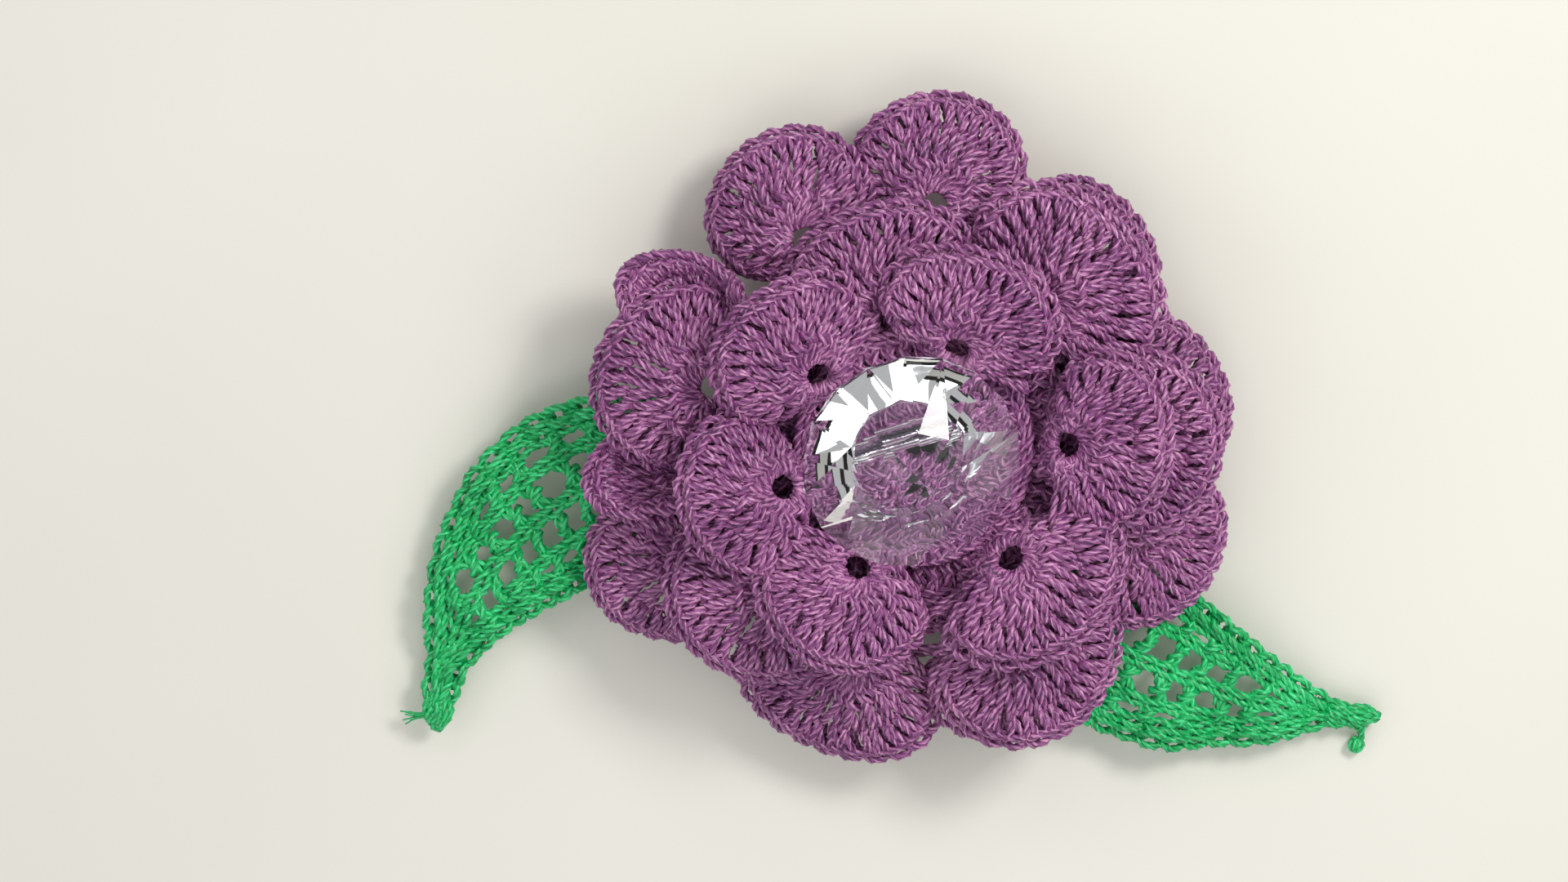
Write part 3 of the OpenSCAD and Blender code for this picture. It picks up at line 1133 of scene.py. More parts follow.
@dataclass
class PetalCloth(RadialCloth):
    """Surface of one petal: u is the angle round the hub, v the distance from it.

    Attributes:
        tier: Sizes of the tier.
        hub: Middle of the petal's hole, in the frame.
        heading: Direction of the petal from the flower's axis, in degrees.
        left: Angle from the heading to the border with the next petal, in degrees.
        right: The same to the petal before, as a positive angle.
        seed: Seed of the petal's own ruffle.
        curled: Height to which the rim stands up, if the petal is squeezed to a cup.
        widen: How much wider the rim spreads than the round solid.
        waves: Sizes and phases of the rim's three waves.
    """

    tier: TierShape
    hub: np.ndarray
    heading: float
    left: float
    right: float
    seed: int
    curled: float = 0.0
    widen: float = 1.0
    waves: np.ndarray = field(init=False)

    def __post_init__(self) -> None:
        """Draws the size and phase of the rim's three waves."""
        rng = np.random.default_rng(self.seed)
        self.waves = np.stack([rng.uniform(0.5, 1.0, 3), rng.uniform(0, TAU, 3)])

    def free_edge(self, u: np.ndarray) -> np.ndarray:
        """Distance from the hub to the petal's round outline, as if it stood alone."""
        reach, r = self.tier.reach, self.tier.diameter / 2
        return reach * np.cos(u) + np.sqrt(r**2 - (reach * np.sin(u)) ** 2)

    def edge(self, u: np.ndarray) -> np.ndarray:
        """Distance from the hub to the outline where the neighbours press on it.

        The round outline is drawn in towards the hub at the two ends of the fan. A
        border is the straight line from the flower's axis halfway to the neighbour;
        the outline is the soft minimum of the round and the two borders.
        """
        free = self.free_edge(u)
        far = np.hypot(self.hub[0], self.hub[1])
        size, phase = self.waves
        free = free * (1 + 0.04 * size[0] * np.sin(3 * u + phase[0]))
        turn = np.clip((np.abs(u) - ENDS_FROM) / ENDS_OVER, 0, 1)
        free = free * (1 - (0.2 + 0.3 * size[1]) * turn**2 * (3 - 2 * turn))
        total = free**-CORNER
        least_angle, least_edge = 0.02, 3.0
        for way, border in ((1, self.left), (-1, self.right)):
            delta = math.radians(border * LAP)
            gap = np.sin(np.clip(way * u - delta, least_angle, math.pi - least_angle))
            total = total + (far * math.sin(delta) / gap) ** -CORNER
        return np.maximum(total ** (-1 / CORNER), least_edge)

    def rim(self, inset: float) -> Row:
        """Function of (u, x) that follows the outline, inset from it."""

        def follow(u: np.ndarray, x: np.ndarray) -> np.ndarray:
            """Outline's distance from the hub at x along from u."""
            return self.edge(u + x / self.edge(u)) - inset

        return follow

    def surface(self, u: np.ndarray, v: np.ndarray) -> np.ndarray:
        """Cupped disc with a swell round the hub, a rolled rim and small ruffles.

        Heights are added up: the cup as the square of the distance from the disc's
        middle, the swell as half a sine wave from hub to rim, the roll and the press of
        the neighbours as powers of the share of the way to the rim, and three waves
        round the hub. The fan's ends then dip on one side and rise on the other, so
        that every petal lies over one neighbour and under the next.
        """
        tier = self.tier
        edge = self.edge(u)
        share = np.clip(v / edge, 0, 1.15)
        pressed = 1 - edge / self.free_edge(u)
        x, y = v * np.cos(u), v * np.sin(u)
        out = ((x - tier.reach) ** 2 + y**2) / (tier.diameter / 2) ** 2
        base = (tier.reach * 2 / tier.diameter) ** 2
        z = tier.cup * (out - base)
        z = z + tier.bulge * np.sin(math.pi * np.clip(share, 0, 1) ** 0.7)
        z = z - tier.roll * share**5 * (1 - pressed)
        z = z + tier.press * pressed * share**3
        size, phase = self.waves
        for n in range(3):
            wave = np.sin((2 + 1.5 * n) * u + phase[n])
            z = z + tier.ruffle * size[n] / (1 + 0.5 * n) * wave * share**2
        side = np.clip(np.abs((u + math.pi) % TAU - math.pi) - 1.1, 0, 1.0)
        z = z - tier.tuck * side**1.5 * share * np.where(u > 0, 1.0, -0.3)
        y = y * (1 + (self.widen - 1) * share)
        if self.curled:
            z = z + self.curled * share**2.2
            y = y * (1 - 0.42 * share)
        local = turned(np.stack([x, y, z], axis=-1), -tier.pitch, "Y")
        return turned(local, self.heading, "Z") + self.hub


@dataclass
class Flower:
    """The three tiers of crocheted petals.

    Attributes:
        yarn: Material of the petals.
        fan: Half the angle over which a petal's stitches fan out, in degrees.
        hole: Radius at which the feet of the stitches stand.
        post_angle: Angle between tall stitches, in degrees.
        inner_posts: Number of short posts on the side of the hole away from the fan.
        inner_reach: Distance from the hub to the heads of those posts.
        rim_row: Width of the row of short stitches along the rim.
        rim_step: Length of one short stitch along the rim.
        link: Length of one link of the rim's chain.
        braid_inset: Distance of the chain's middle from the outline.
        braid_tilt: Angle by which the chain is tipped outward, in degrees.
        braid_girth: Factor on the chain's width and height.
    """

    yarn: bpy.types.Material
    fan: float = 114.0
    hole: float = 1.5
    post_angle: float = 16.8
    inner_posts: int = 6
    inner_reach: float = 4.3
    rim_row: float = 2.6
    rim_step: float = 1.55
    link: float = 2.0
    braid_inset: float = 0.65
    braid_tilt: float = 24.0
    braid_girth: float = 1.6

    def hub_of(self, node: str, tier: TierShape) -> np.ndarray:
        """Finds the middle of a petal's hole from the frame's own corners.

        A circle is fitted by least squares to the corners near the expected place, and
        again to those near the fitted circle.

        Args:
            node: Frame node of the petal.
            tier: Sizes of its tier.

        Returns:
            The hub in millimetres.
        """
        points = node_points(node)
        low, high = node_box(node)
        middle = (low + high)[:2] / 2
        centre = middle * (1 - tier.reach / np.hypot(*middle))
        # the hole's edge is 1.5 from its middle; each ring takes in fewer other corners
        for reach in (3.2, 2.4, 2.0, 1.9):
            near = points[np.hypot(*(points[:, :2] - centre).T) < reach]
            sides = np.column_stack([2 * near[:, :2], np.ones(len(near))])
            squares = np.sum(near[:, :2] ** 2, axis=1)
            centre = np.linalg.lstsq(sides, squares, rcond=None)[0][:2]
        return np.array([centre[0], centre[1], near[:, 2].mean()])

    def cloths(self, tier: TierShape) -> list[PetalCloth]:
        """Makes the surfaces of one tier's petals, each with its share of the circle.

        Args:
            tier: Sizes of the tier.

        Returns:
            One surface for each petal, in the order of the frame's nodes.
        """
        hubs = [self.hub_of(f"{tier.name}_{n + 1}", tier) for n in range(tier.count)]
        headings = [math.degrees(math.atan2(h[1], h[0])) for h in hubs]
        cloths = []
        for n, hub in enumerate(hubs):
            after = (headings[(n + 1) % tier.count] - headings[n]) % 360
            before = (headings[n] - headings[n - 1]) % 360
            seed = 40 * tier.count + n
            cloths.append(
                PetalCloth(
                    tier=tier,
                    hub=hub,
                    heading=headings[n],
                    left=after / 2,
                    right=before / 2,
                    seed=seed,
                    curled=tier.curled.get(n, 0.0),
                    widen=tier.broad.get(n, tier.widen),
                )
            )
        return cloths

    def petal(self, cloth: PetalCloth, name: str) -> bpy.types.Object:
        """Works one petal: a fan of tall stitches, a row of short ones and a chain.

        Args:
            cloth: Surface of the petal.
            name: Name of its frame node.

        Returns:
            The petal.
        """
        work = Yarnwork(cloth.seed + 7)
        hook = Hook(work, cloth)
        half = math.radians(self.fan)
        self.fan_posts(hook, cloth, half)
        turns, run = self.along_rim(cloth, half)
        self.short_row(hook, cloth, turns, run)
        links = np.interp(np.arange(0, run[-1], self.link), run, turns)
        hook.chain(
            links,
            cloth.rim(self.braid_inset),
            self.link,
            tilt=self.braid_tilt,
            girth=self.braid_girth,
        )
        self.core_and_ring(hook, cloth, half)
        return settle(work.finish(f"{name}_crochet", self.yarn), name)

    def fan_posts(self, hook: Hook, cloth: PetalCloth, half: float) -> None:
        """Works the fan of tall stitches and the short posts on the hole's other side.

        Args:
            hook: Hook that works the petal.
            cloth: Surface of the petal.
            half: Half the fan's angle, in radians.
        """
        least_post = 1.1
        count = int(round(2 * self.fan / self.post_angle)) + 1
        u = np.linspace(-half, half, count) + hook.work.rng.normal(0, 0.015, count)
        head = np.maximum(cloth.edge(u) - self.rim_row, self.hole + least_post)
        hook.posts(u, np.full(count, self.hole), head, round_hub=True)
        count = self.inner_posts
        inner = np.linspace(half + 0.35, TAU - half - 0.35, count)
        low, high = np.full(count, self.hole), np.full(count, self.inner_reach)
        hook.posts(inner, low, high, round_hub=True)

    def along_rim(self, cloth: PetalCloth, half: float) -> tuple[np.ndarray, np.ndarray]:
        """Measures the rim: the integral of the outline's distance over the angle.

        Args:
            cloth: Surface of the petal.
            half: Half the fan's angle, in radians.

        Returns:
            Angles from one end of the rim to the other, and the length run at each.
        """
        turns = np.linspace(-half - 0.2, half + 0.2, 2000)
        edge = cloth.edge(turns)
        run = np.cumsum(np.diff(turns) * (edge[1:] + edge[:-1]) / 2)
        return turns, np.concatenate([[0], run])

    def short_row(
        self, hook: Hook, cloth: PetalCloth, turns: np.ndarray, run: np.ndarray
    ) -> None:
        """Works the row of short stitches inside the rim, on both faces.

        Args:
            hook: Hook that works the petal.
            cloth: Surface of the petal.
            turns: Angles along the rim.
            run: Length run at each angle.
        """
        margin, under_braid = 0.4, 0.8
        row = np.arange(margin, run[-1] - margin, self.rim_step)
        u = np.interp(row, run, turns) + hook.work.rng.normal(0, 0.015, len(row))
        low = np.maximum(cloth.edge(u) - self.rim_row - 0.2, self.hole + 0.3)
        high = cloth.edge(u) - under_braid
        hook.vees(u, low, high, Facing.FRONT)
        hook.vees(u, low, high, Facing.BACK)

    def core_and_ring(self, hook: Hook, cloth: PetalCloth, half: float) -> None:
        """Lays the yarn that runs inside the braid, and the ring that shuts the hole.

        Args:
            hook: Hook that works the petal.
            cloth: Surface of the petal.
            half: Half the fan's angle, in radians.
        """
        core = np.linspace(-half, half, 36)
        under = cloth.place(core, cloth.edge(core) - 0.7, 0.0 * core, 0.0 * core - 0.05)
        hook.work.lay(smooth(under[None], 90), hook.radius * 1.1)
        base = np.linspace(half, TAU - half, 9)
        flat = np.zeros(len(base))
        ring = cloth.place(base, np.full(len(base), self.hole + 0.45), flat, flat)
        hook.work.lay(smooth(ring[None], 16), hook.radius)

    def build(self) -> None:
        """Builds every petal."""
        for tier in (FRONT, MIDDLE, BACK):
            for n, cloth in enumerate(self.cloths(tier)):
                made = self.petal(cloth, f"{tier.name}_{n + 1}")
                LOG.info(
                    "%s: hub %s, heading %.1f, %d faces",
                    made.name,
                    np.round(cloth.hub, 2),
                    cloth.heading,
                    len(made.data.polygons),
                )


# ----------------------------------------------------------------------------- rounds


@dataclass
class RoundCloth(RadialCloth):
    """A flat round: u is the angle about the flower's axis, v the radius.

    Attributes:
        height: Height of the round's middle face in the frame.
    """

    height: float

    def surface(self, u: np.ndarray, v: np.ndarray) -> np.ndarray:
        """Plane at one height, with shallow unevenness round the flower."""
        z = self.height + 0.12 * np.sin(5 * u + v)
        return np.stack([v * np.cos(u), v * np.sin(u), z], axis=-1)


@dataclass(frozen=True)
class RoundShape:
    """What one round needs beyond its frame node.

    Attributes:
        node: Frame node of the round.
        inner: Radius at which its first row starts; what lies inside isn't seen.
        sides: Points round its yarn, fewer where only the back shows.
    """

    node: str
    inner: float
    sides: int


ROUNDS = (
    RoundShape("front_round", inner=0.9, sides=9),
    RoundShape("middle_round", inner=7.0, sides=6),
    RoundShape("back_round", inner=8.0, sides=6),
)


@dataclass
class Rounds:
    """The crocheted rounds that carry the tiers.

    Attributes:
        yarn: Material of the rounds.
        row: Width of one row of stitches.
        step: Length of one stitch along its row.
        depth: Depth of the stitches' middle under the round's front face.
        seed: Seed of the first round.
    """

    yarn: bpy.types.Material
    row: float = 3.6
    step: float = 1.7
    depth: float = 0.55
    seed: int = 900

    def build(self) -> None:
        """Builds every round."""
        for number, shape in enumerate(ROUNDS):
            made = self.round(shape, self.seed + number)
            LOG.info("%s: %d faces", made.name, len(made.data.polygons))

    def round(self, shape: RoundShape, seed: int) -> bpy.types.Object:
        """Works one round as rings of tall stitches with chains between them.

        Args:
            shape: Which round, and where its first row starts.
            seed: Seed of its unevenness.

        Returns:
            The round.
        """
        low, high = node_box(shape.node)
        outer = (high - low)[0] / 2
        work = Yarnwork(seed)
        hook = Hook(work, RoundCloth(high[2] - self.depth), sides=shape.sides)
        rows = max(1, int(round((outer - shape.inner) / self.row)))
        edges = np.linspace(shape.inner, outer - 0.4, rows + 1)
        gap = 0.2
        for inside, outside in zip(edges[:-1], edges[1:]):
            around = TAU * outside
            count = int(around / self.step)
            full = np.full(count, 1.0)
            u = np.arange(count) * TAU / count
            hook.posts(u, full * (inside + gap), full * (outside - gap))
            links = int(round(around / self.step))
            u = np.arange(links) * TAU / links
            hook.chain(u, lambda a, x, r=outside: r + 0 * x, around / links)
        made = work.finish(f"{shape.node}_crochet", self.yarn)
        return settle(made, shape.node)


# ----------------------------------------------------------------------------- leaves


@dataclass
class LeafCloth(Cloth):
    """Surface of a leaf: u is the length along the midrib, v the distance from it.

    The midrib is an arc, as in the frame's solid; the leaf slopes away from the flower.

    Attributes:
        node: Frame node of the leaf.
        heading: Direction of the midrib's chord, in degrees.
        turn: How far the midrib turns from root to tip, in degrees.
        length: Length of the midrib.
        width: Greatest width.
        downhill: Direction in which the leaf slopes down, in degrees.
        slope: Angle of the slope, in degrees.
        sag: Depth of the leaf's bend along its length.
        fold: How far the halves fall from the midrib for each millimetre of width.
        tip: Half the width of the braided stalk that the tip is drawn out to.
        shift: From the leaf's own root to its place in the frame.
    """

    node: str
    heading: float
    turn: float
    length: float
    width: float
    downhill: float
    slope: float = 7.0
    sag: float = 0.6
    fold: float = 0.06
    tip: float = 1.0
    shift: np.ndarray = field(default_factory=lambda: np.zeros(3))

    def __post_init__(self) -> None:
        """Moves the leaf so that the middle of its box is the frame node's."""
        low, high = node_box(self.node)
        u = np.linspace(0, self.length, 60)
        solid_tip = 0.6
        half = np.maximum(solid_tip, self.plain_width(u))
        outline = np.concatenate([self.surface(u, half), self.surface(u, -half)])
        middle = (outline.min(axis=0) + outline.max(axis=0)) / 2
        self.shift = (low + high) / 2 - middle

    def plain_width(self, u: np.ndarray) -> np.ndarray:
        """Half the solid's width: fullest before the middle, down to nothing."""
        t = np.clip(u / self.length, 0, 1)
        return self.width / 2 * np.clip(np.sin(math.pi * t**0.7), 0, 1) ** 1.2

    def half_width(self, u: np.ndarray) -> np.ndarray:
        """Half the leaf's width, kept to at least the tip's stalk, which tapers."""
        thinnest, over = 0.45, 7
        taper = np.clip(thinnest + (self.length - u) / over, thinnest, 1)
        return np.maximum(self.tip * taper, self.plain_width(u))

    def surface(self, u: np.ndarray, v: np.ndarray) -> np.ndarray:
        """Point v across the arc of the midrib at u, bent, folded and sloped.

        The height is half a sine wave along the leaf, less the fold of its halves, with
        two slanting waves that keep it from lying flat.
        """
        bend = math.radians(self.turn)
        r = self.length / bend
        t = u / self.length
        angle = bend * (t - 0.5)
        x = r * (np.sin(angle) + math.sin(bend / 2)) - v * np.sin(angle)
        y = r * (math.cos(bend / 2) - np.cos(angle)) + v * np.cos(angle)
        z = self.sag * np.sin(math.pi * np.clip(t, 0, 1)) - self.fold * np.abs(v)
        z = z + 0.55 * np.sin(u * 0.5 + v * 0.4) + 0.3 * np.sin(u * 1.1 - v * 0.7)
        local = turned(
            np.stack([x, y, z], axis=-1), self.heading - self.downhill, "Z"
        )
        sloped = turned(local, self.slope, "Y")
        return turned(sloped, self.downhill, "Z") + self.shift

    def slide(self, u: np.ndarray, v: np.ndarray, x: np.ndarray) -> np.ndarray:
        """Length x millimetres further along the midrib."""
        return u + x

    def place(
        self, u: np.ndarray, v: np.ndarray, x: np.ndarray, h: np.ndarray
    ) -> np.ndarray:
        """As for any cloth, with the normal kept on the leaf's face."""
        point = super().place(u, v, x, np.zeros(1))
        lifted = super().place(u, v, x, np.ones(1))
        up = lifted - point
        up = up * np.sign(up[..., 2:3])
        return point + up * np.broadcast_to(h, point.shape[:-1])[..., None]


class Tail(Enum):
    """How the yarn's end is left at a leaf's tip."""

    FRAYED = "frayed"
    KNOTTED = "knotted"


@dataclass
class Leaf:
    """One openwork leaf with a braided border.

    Attributes:
        cloth: The leaf's surface.
        yarn: Its material.
        seed: Seed of its unevenness.
        tail: How its yarn ends.
        post_step: Distance between the tall stitches.
        post_lean: How far a tall stitch leans toward the tip.
        row_share: Where the chain between two rows of stitches runs, from midrib to rim.
        two_rows: Least half width that takes two rows of tall stitches.
        one_row: Least half width that takes one.
        border: Width of the braided border.
        braids: Inset, outward tip in degrees and girth of each of the border's chains.
        link: Length of one link of its chains.
    """

    cloth: LeafCloth
    yarn: bpy.types.Material
    seed: int
    tail: Tail
    post_step: float = 3.1
    post_lean: float = 1.0
    row_share: float = 0.46
    two_rows: float = 5.4
    one_row: float = 3.2
    border: float = 2.0
    braids: tuple[tuple[float, float, float], ...] = ((0.65, 20, 1.75), (1.9, -10, 1.3))
    link: float = 2.0

    def build(self) -> bpy.types.Object:
        """Works the midrib, the rows of tall stitches, the row chains and the border."""
        cloth = self.cloth
        work = Yarnwork(self.seed)
        hook = Hook(work, cloth, radius=0.37)
        spine = np.arange(0.5, cloth.length - 1, self.link)
        hook.chain(spine, lambda u, x: 0 * x, self.link, girth=1.15)
        for side in (-1, 1):
            self.half(hook, side)
        if self.tail is Tail.FRAYED:
            self.frayed(hook)
        else:
            self.knotted(hook)
        made = work.finish(f"{cloth.node}_crochet", self.yarn)
        LOG.info("%s: %d faces", made.name, len(made.data.polygons))
        return settle(made, cloth.node)

    def half(self, hook: Hook, side: int) -> None:
        """Works one side of the leaf.

        Args:
            hook: Hook that works it.
            side: 1 to the left of the midrib, -1 to the right.
        """
        cloth = self.cloth
        u = np.arange(2.0, cloth.length - 7.0, self.post_step)
        u = u + hook.work.rng.normal(0, 0.16, len(u))
        wide = np.minimum(cloth.half_width(u), cloth.half_width(u + self.post_lean))
        both = wide > self.two_rows
        one = (wide > self.one_row) & ~both
        foot = 0.5 + 0 * wide
        row = wide * self.row_share
        head = wide - self.border
        clear = 0.35
        for pick, low, high in (
            (both, foot, row - clear),
            (both, row + clear, head),
            (one, foot, head),
        ):
            if pick.any():
                hook.posts(
                    u[pick],
                    side * low[pick],
                    side * high[pick],
                    lean=self.post_lean,
                    spread=(0.3, 0.42),
                    back=False,
                )
        inner = np.arange(u[both].min() - 1, u[both].max() + 2, self.link)
        hook.chain(inner, self.row_line(side), self.link)
        edge = np.arange(0.0, cloth.length - 0.5, self.link)
        for inset, tilt, girth in self.braids:
            line = self.border_line(side, inset)
            hook.chain(edge, line, self.link, tilt=side * tilt, girth=girth)

    def row_line(self, side: int) -> Row:
        """Line of the chain between two rows, a fixed share of the way to the rim."""
        return lambda u, x: side * self.cloth.half_width(u + x) * self.row_share

    def border_line(self, side: int, inset: float) -> Row:
        """Line of a border's chain, inset from the rim and kept off the midrib."""
        least = 0.25
        return lambda u, x: side * np.maximum(self.cloth.half_width(u + x) - inset, least)

    def frayed(self, hook: Hook) -> None:
        """Ends the yarn in a short tuft of loose plies, swept to one side."""
        cloth = self.cloth
        rng = hook.work.rng
        plies, rings = 7, 14
        t = np.linspace(0, 1, 5)[None]
        fan = rng.uniform(-0.5, 0.9, (plies, 1))
        reach = rng.uniform(2.2, 3.4, (plies, 1))
        x = cloth.length - 0.6 + 0.6 * t + fan * t**1.5
        v = -0.2 - reach * t
        lift = 0.2 + rng.uniform(-0.3, 0.3, (plies, 1)) * t
        paths = cloth.place(x, v, 0 * x, lift + 0 * x)
        radius = 0.14 * (1 - 0.5 * np.linspace(0, 1, rings))[None]
        hook.work.lay(smooth(paths, rings), radius, sides=6)

    def knotted(self, hook: Hook) -> None:
        """Ends the yarn in a tight round knot on a short neck.

        The yarn runs off the tip and winds a few times round a small circle whose plane
        turns as it goes, which piles the turns into a ball.
        """
        cloth = self.cloth
        end = cloth.length - 0.3
        knot, turns = 0.42, 3.4
        turn = np.linspace(0, turns * TAU, 40)
        plane = turn / 4.3
        wind = knot * np.cos(turn)
        rise = knot * np.sin(turn)
        x = np.concatenate([[-0.6, 0.2, 0.3], wind * np.cos(plane)])
        v = np.concatenate([[-0.3, -0.9, -1.9], -3.1 + rise])
        h = np.concatenate([[0.2, 0.3, 0.1], wind * np.sin(plane)])
        at = np.full(len(x), end)
        path = cloth.place(at, v, x, h)
        hook.work.lay(smooth(path[None], 110), 0.36)


# ------------------------------------------------------------------------ stone, felt


@dataclass
class Seat:
    """Where the stone sits: on the front round, leaning as its thread pulls it.

    Attributes:
        tilt: Angle of the lean, in degrees.
        lean: Direction of the lean, in degrees.
        hole_turn: Direction of the thread hole, in degrees.
        shank: Diameter of the shank under the stone.
        hole_height: Height of the hole's axis over the shank's foot.
        middle: Height of the girdle's middle over the shank's foot.
    """

    tilt: float = 16.0
    lean: float = -50.0
    hole_turn: float = 15.0
    shank: float = 7.0
    hole_height: float = 1.4
    middle: float = 6.95

    def to_frame(self, points: np.ndarray) -> np.ndarray:
        """Turns points from the stone's own axes (hole along X) into the frame's.

        Args:
            points: Points on the last axis, from the shank's foot.

        Returns:
            The points in the frame, in the same shape.
        """
        low, high = node_box("stone")
        rise = self.shank / 2 * math.sin(math.radians(self.tilt))
        local = turned(points, self.hole_turn - self.lean, "Z")
        leaned = turned(turned(local, self.tilt, "Y"), self.lean, "Z")
        sideways = self.middle * math.sin(math.radians(self.tilt))
        drift = turned(np.array([sideways, 0, 0]), self.lean, "Z")
        foot = (low + high) / 2 - drift
        foot[2] = node_box("front_round")[1][2] + rise
        return leaned + foot


@dataclass
class StoneThread:
    """Thread that ties the stone down, in strands that wind round one another.

    Attributes:
        seat: Where the stone sits.
        material: Thread's material.
        strands: Number of strands through the hole.
        radius: Radius of one strand.
        bundle: Distance of the strands from the bundle's middle.
        clear: Distance of the bundle's legs from the shank.
    """

    seat: Seat
    material: bpy.types.Material
    strands: int = 3
    radius: float = 0.27
    bundle: float = 0.28
    clear: float = 0.7

    def build(self) -> bpy.types.Object:
        """Lays each strand through the hole and down into the round at both ends."""
        work = Yarnwork(31)
        side = self.seat.shank / 2 + self.clear
        hole = self.seat.hole_height
        # along the hole, and over the shank's foot
        shape = np.array(
            [
                [-side, -3.0],
                [-side, -1.2],
                [-side + 0.1, 0.9],
                [-side + 0.9, hole + 0.05],
                [0.0, hole],
                [side - 0.9, hole + 0.05],
                [side - 0.1, 0.9],
                [side, -0.6],
                [side, -2.2],
            ]
        )
        start = np.arange(self.strands)[:, None] * TAU / self.strands
        turn = start + np.linspace(0, 2, len(shape))[None] * TAU
        x = shape[None, :, 0] + 0.0 * turn
        y = self.bundle * np.cos(turn)
        z = shape[None, :, 1] + self.bundle * np.sin(turn)
        control = self.seat.to_frame(np.stack([x, y, z], axis=-1))
        work.lay(smooth(control, 60), self.radius, sides=9, pitch=1.2)
        made = work.finish("stone_thread_strands", self.material)
        return settle(made, "stone_thread")


@dataclass
class BarStitches:
    """Stitches that hold the pin's bar on the felt.

    Attributes:
        material: Thread's material.
        count: Number of stitches along the bar.
        radius: Radius of one strand.
        beside: Distance of a stitch's two strands from its middle.
        plain_radius: Radius of the frame's plain stitches.
    """

    material: bpy.types.Material
    count: int = 3
    radius: float = 0.16
    beside: float = 0.16
    plain_radius: float = 0.25

    def build(self) -> bpy.types.Object:
        """Lays two strands side by side for each stitch: up, across the bar and down.

        Each half of a stitch comes out of the felt beside the bar, crosses half the bar
        and goes back through the sewing hole; the other half is its mirror image.
        """
        low, high = node_box("pin_stitches")
        r = self.plain_radius
        work = Yarnwork(32)
        xs = np.linspace(low[0] + r, high[0] - r, self.count)
        y0, y1, top, foot = low[1] + r, high[1] - r, low[2] + r, high[2]
        middle = (y0 + y1) / 2
        y = np.array([y0, y0, y0 + 0.25, y0 + 1.2, middle - 0.35, middle - 0.1, middle])
        z = np.array([foot, -0.3, top + 0.1, top, top, top + 0.35, foot])
        halves = []
        for mirror in (1, -1):
            for beside in (-self.beside, self.beside):
                x = xs[:, None] + beside + 0 * y
                across = np.broadcast_to(middle + mirror * (y - middle), x.shape)
                depth = np.broadcast_to(z, x.shape)
                halves.append(np.stack([x, across, depth], axis=-1))
        work.lay(smooth(np.concatenate(halves), 40), self.radius, 9, pitch=0.9)
        made = work.finish("pin_stitches_thread", self.material)
        return settle(made, "pin_stitches")


@dataclass
class FeltBacking:
    """Felt disc behind the flower, cut by hand: a soft edge and a slightly uneven rim.

    Attributes:
        material: Felt's material.
        around: Points round the disc.
    """

    material: bpy.types.Material
    around: int = 160

    def build(self) -> bpy.types.Object:
        """Turns a rounded profile about the axis, its radius wavering by a hundredth.

        The profile runs from the middle of the back, over the rounded edge, to the
        middle of the front; each ring's radius is scaled by a slow wave of the angle.
        """
        low, high = node_box("felt_backing")
        r, t = (high - low)[0] / 2, (high - low)[2]
        bend = np.linspace(-math.pi / 2, math.pi / 2, 9)
        corner_r = r - t / 2 + t / 2 * np.cos(bend)
        corner_z = t / 2 + t / 2 * np.sin(bend)
        flat = np.linspace(0.15, 1, 12)[:-1] * (r - t / 2)
        radii = np.concatenate([flat, corner_r, flat[::-1]])
        heights = np.concatenate([0 * flat, corner_z, 0 * flat + t])
        u = np.arange(self.around) * TAU / self.around
        waver = 1 + 0.006 * np.sin(5 * u + 1) + 0.004 * np.sin(13 * u)
        waver = waver / waver.max()
        ring = np.stack(
            [
                radii[:, None] * waver * np.cos(u),
                radii[:, None] * waver * np.sin(u),
                np.broadcast_to(heights[:, None] + low[2], (len(radii), self.around)),
            ],
            axis=-1,
        )
        count = len(radii)
        index = np.arange(count * self.around).reshape(count, self.around)
        following = np.roll(index, -1, axis=1)
        quads = np.stack(
            [index[:-1], following[:-1], following[1:], index[1:]], axis=-1
        ).reshape(-1, 4)
        loops = np.concatenate([quads.ravel(), index[0, ::-1], index[-1]])
        sizes = np.array([4] * len(quads) + [self.around] * 2)
        starts = np.concatenate([[0], np.cumsum(sizes)[:-1]])
        made = mesh_object(
            "felt_backing_disc", ring.reshape(-1, 3), loops, starts, self.material
        )
        settle(made, "felt_backing")
        return made


@dataclass
class Pin:
    """Bar pin with its hinged stem and safety catch: the frame's own solids, plated.

    Attributes:
        plate: Material of the metal.
        nodes: The pin's frame nodes.
    """

    plate: bpy.types.Material
    nodes: tuple[str, ...] = ("pin_bar", "hinge_rivet", "pin_stem", "safety_catch")

    def build(self, frame: dict[str, Any]) -> None:
        """Gives each metal node the plated material.
        """
        for name in self.nodes:
            dress_node(frame["nodes"][name], self.plate)
            LOG.info("%s: plated", name)


def dress_node(obj: bpy.types.Object, material: bpy.types.Material) -> None:
    """Puts one material on a frame node in place of its own.

    Args:
        obj: The frame node.
        material: Its new material.
    """
    obj.data.materials.clear()
    obj.data.materials.append(material)


# ------------------------------------------------------------------------------ studio


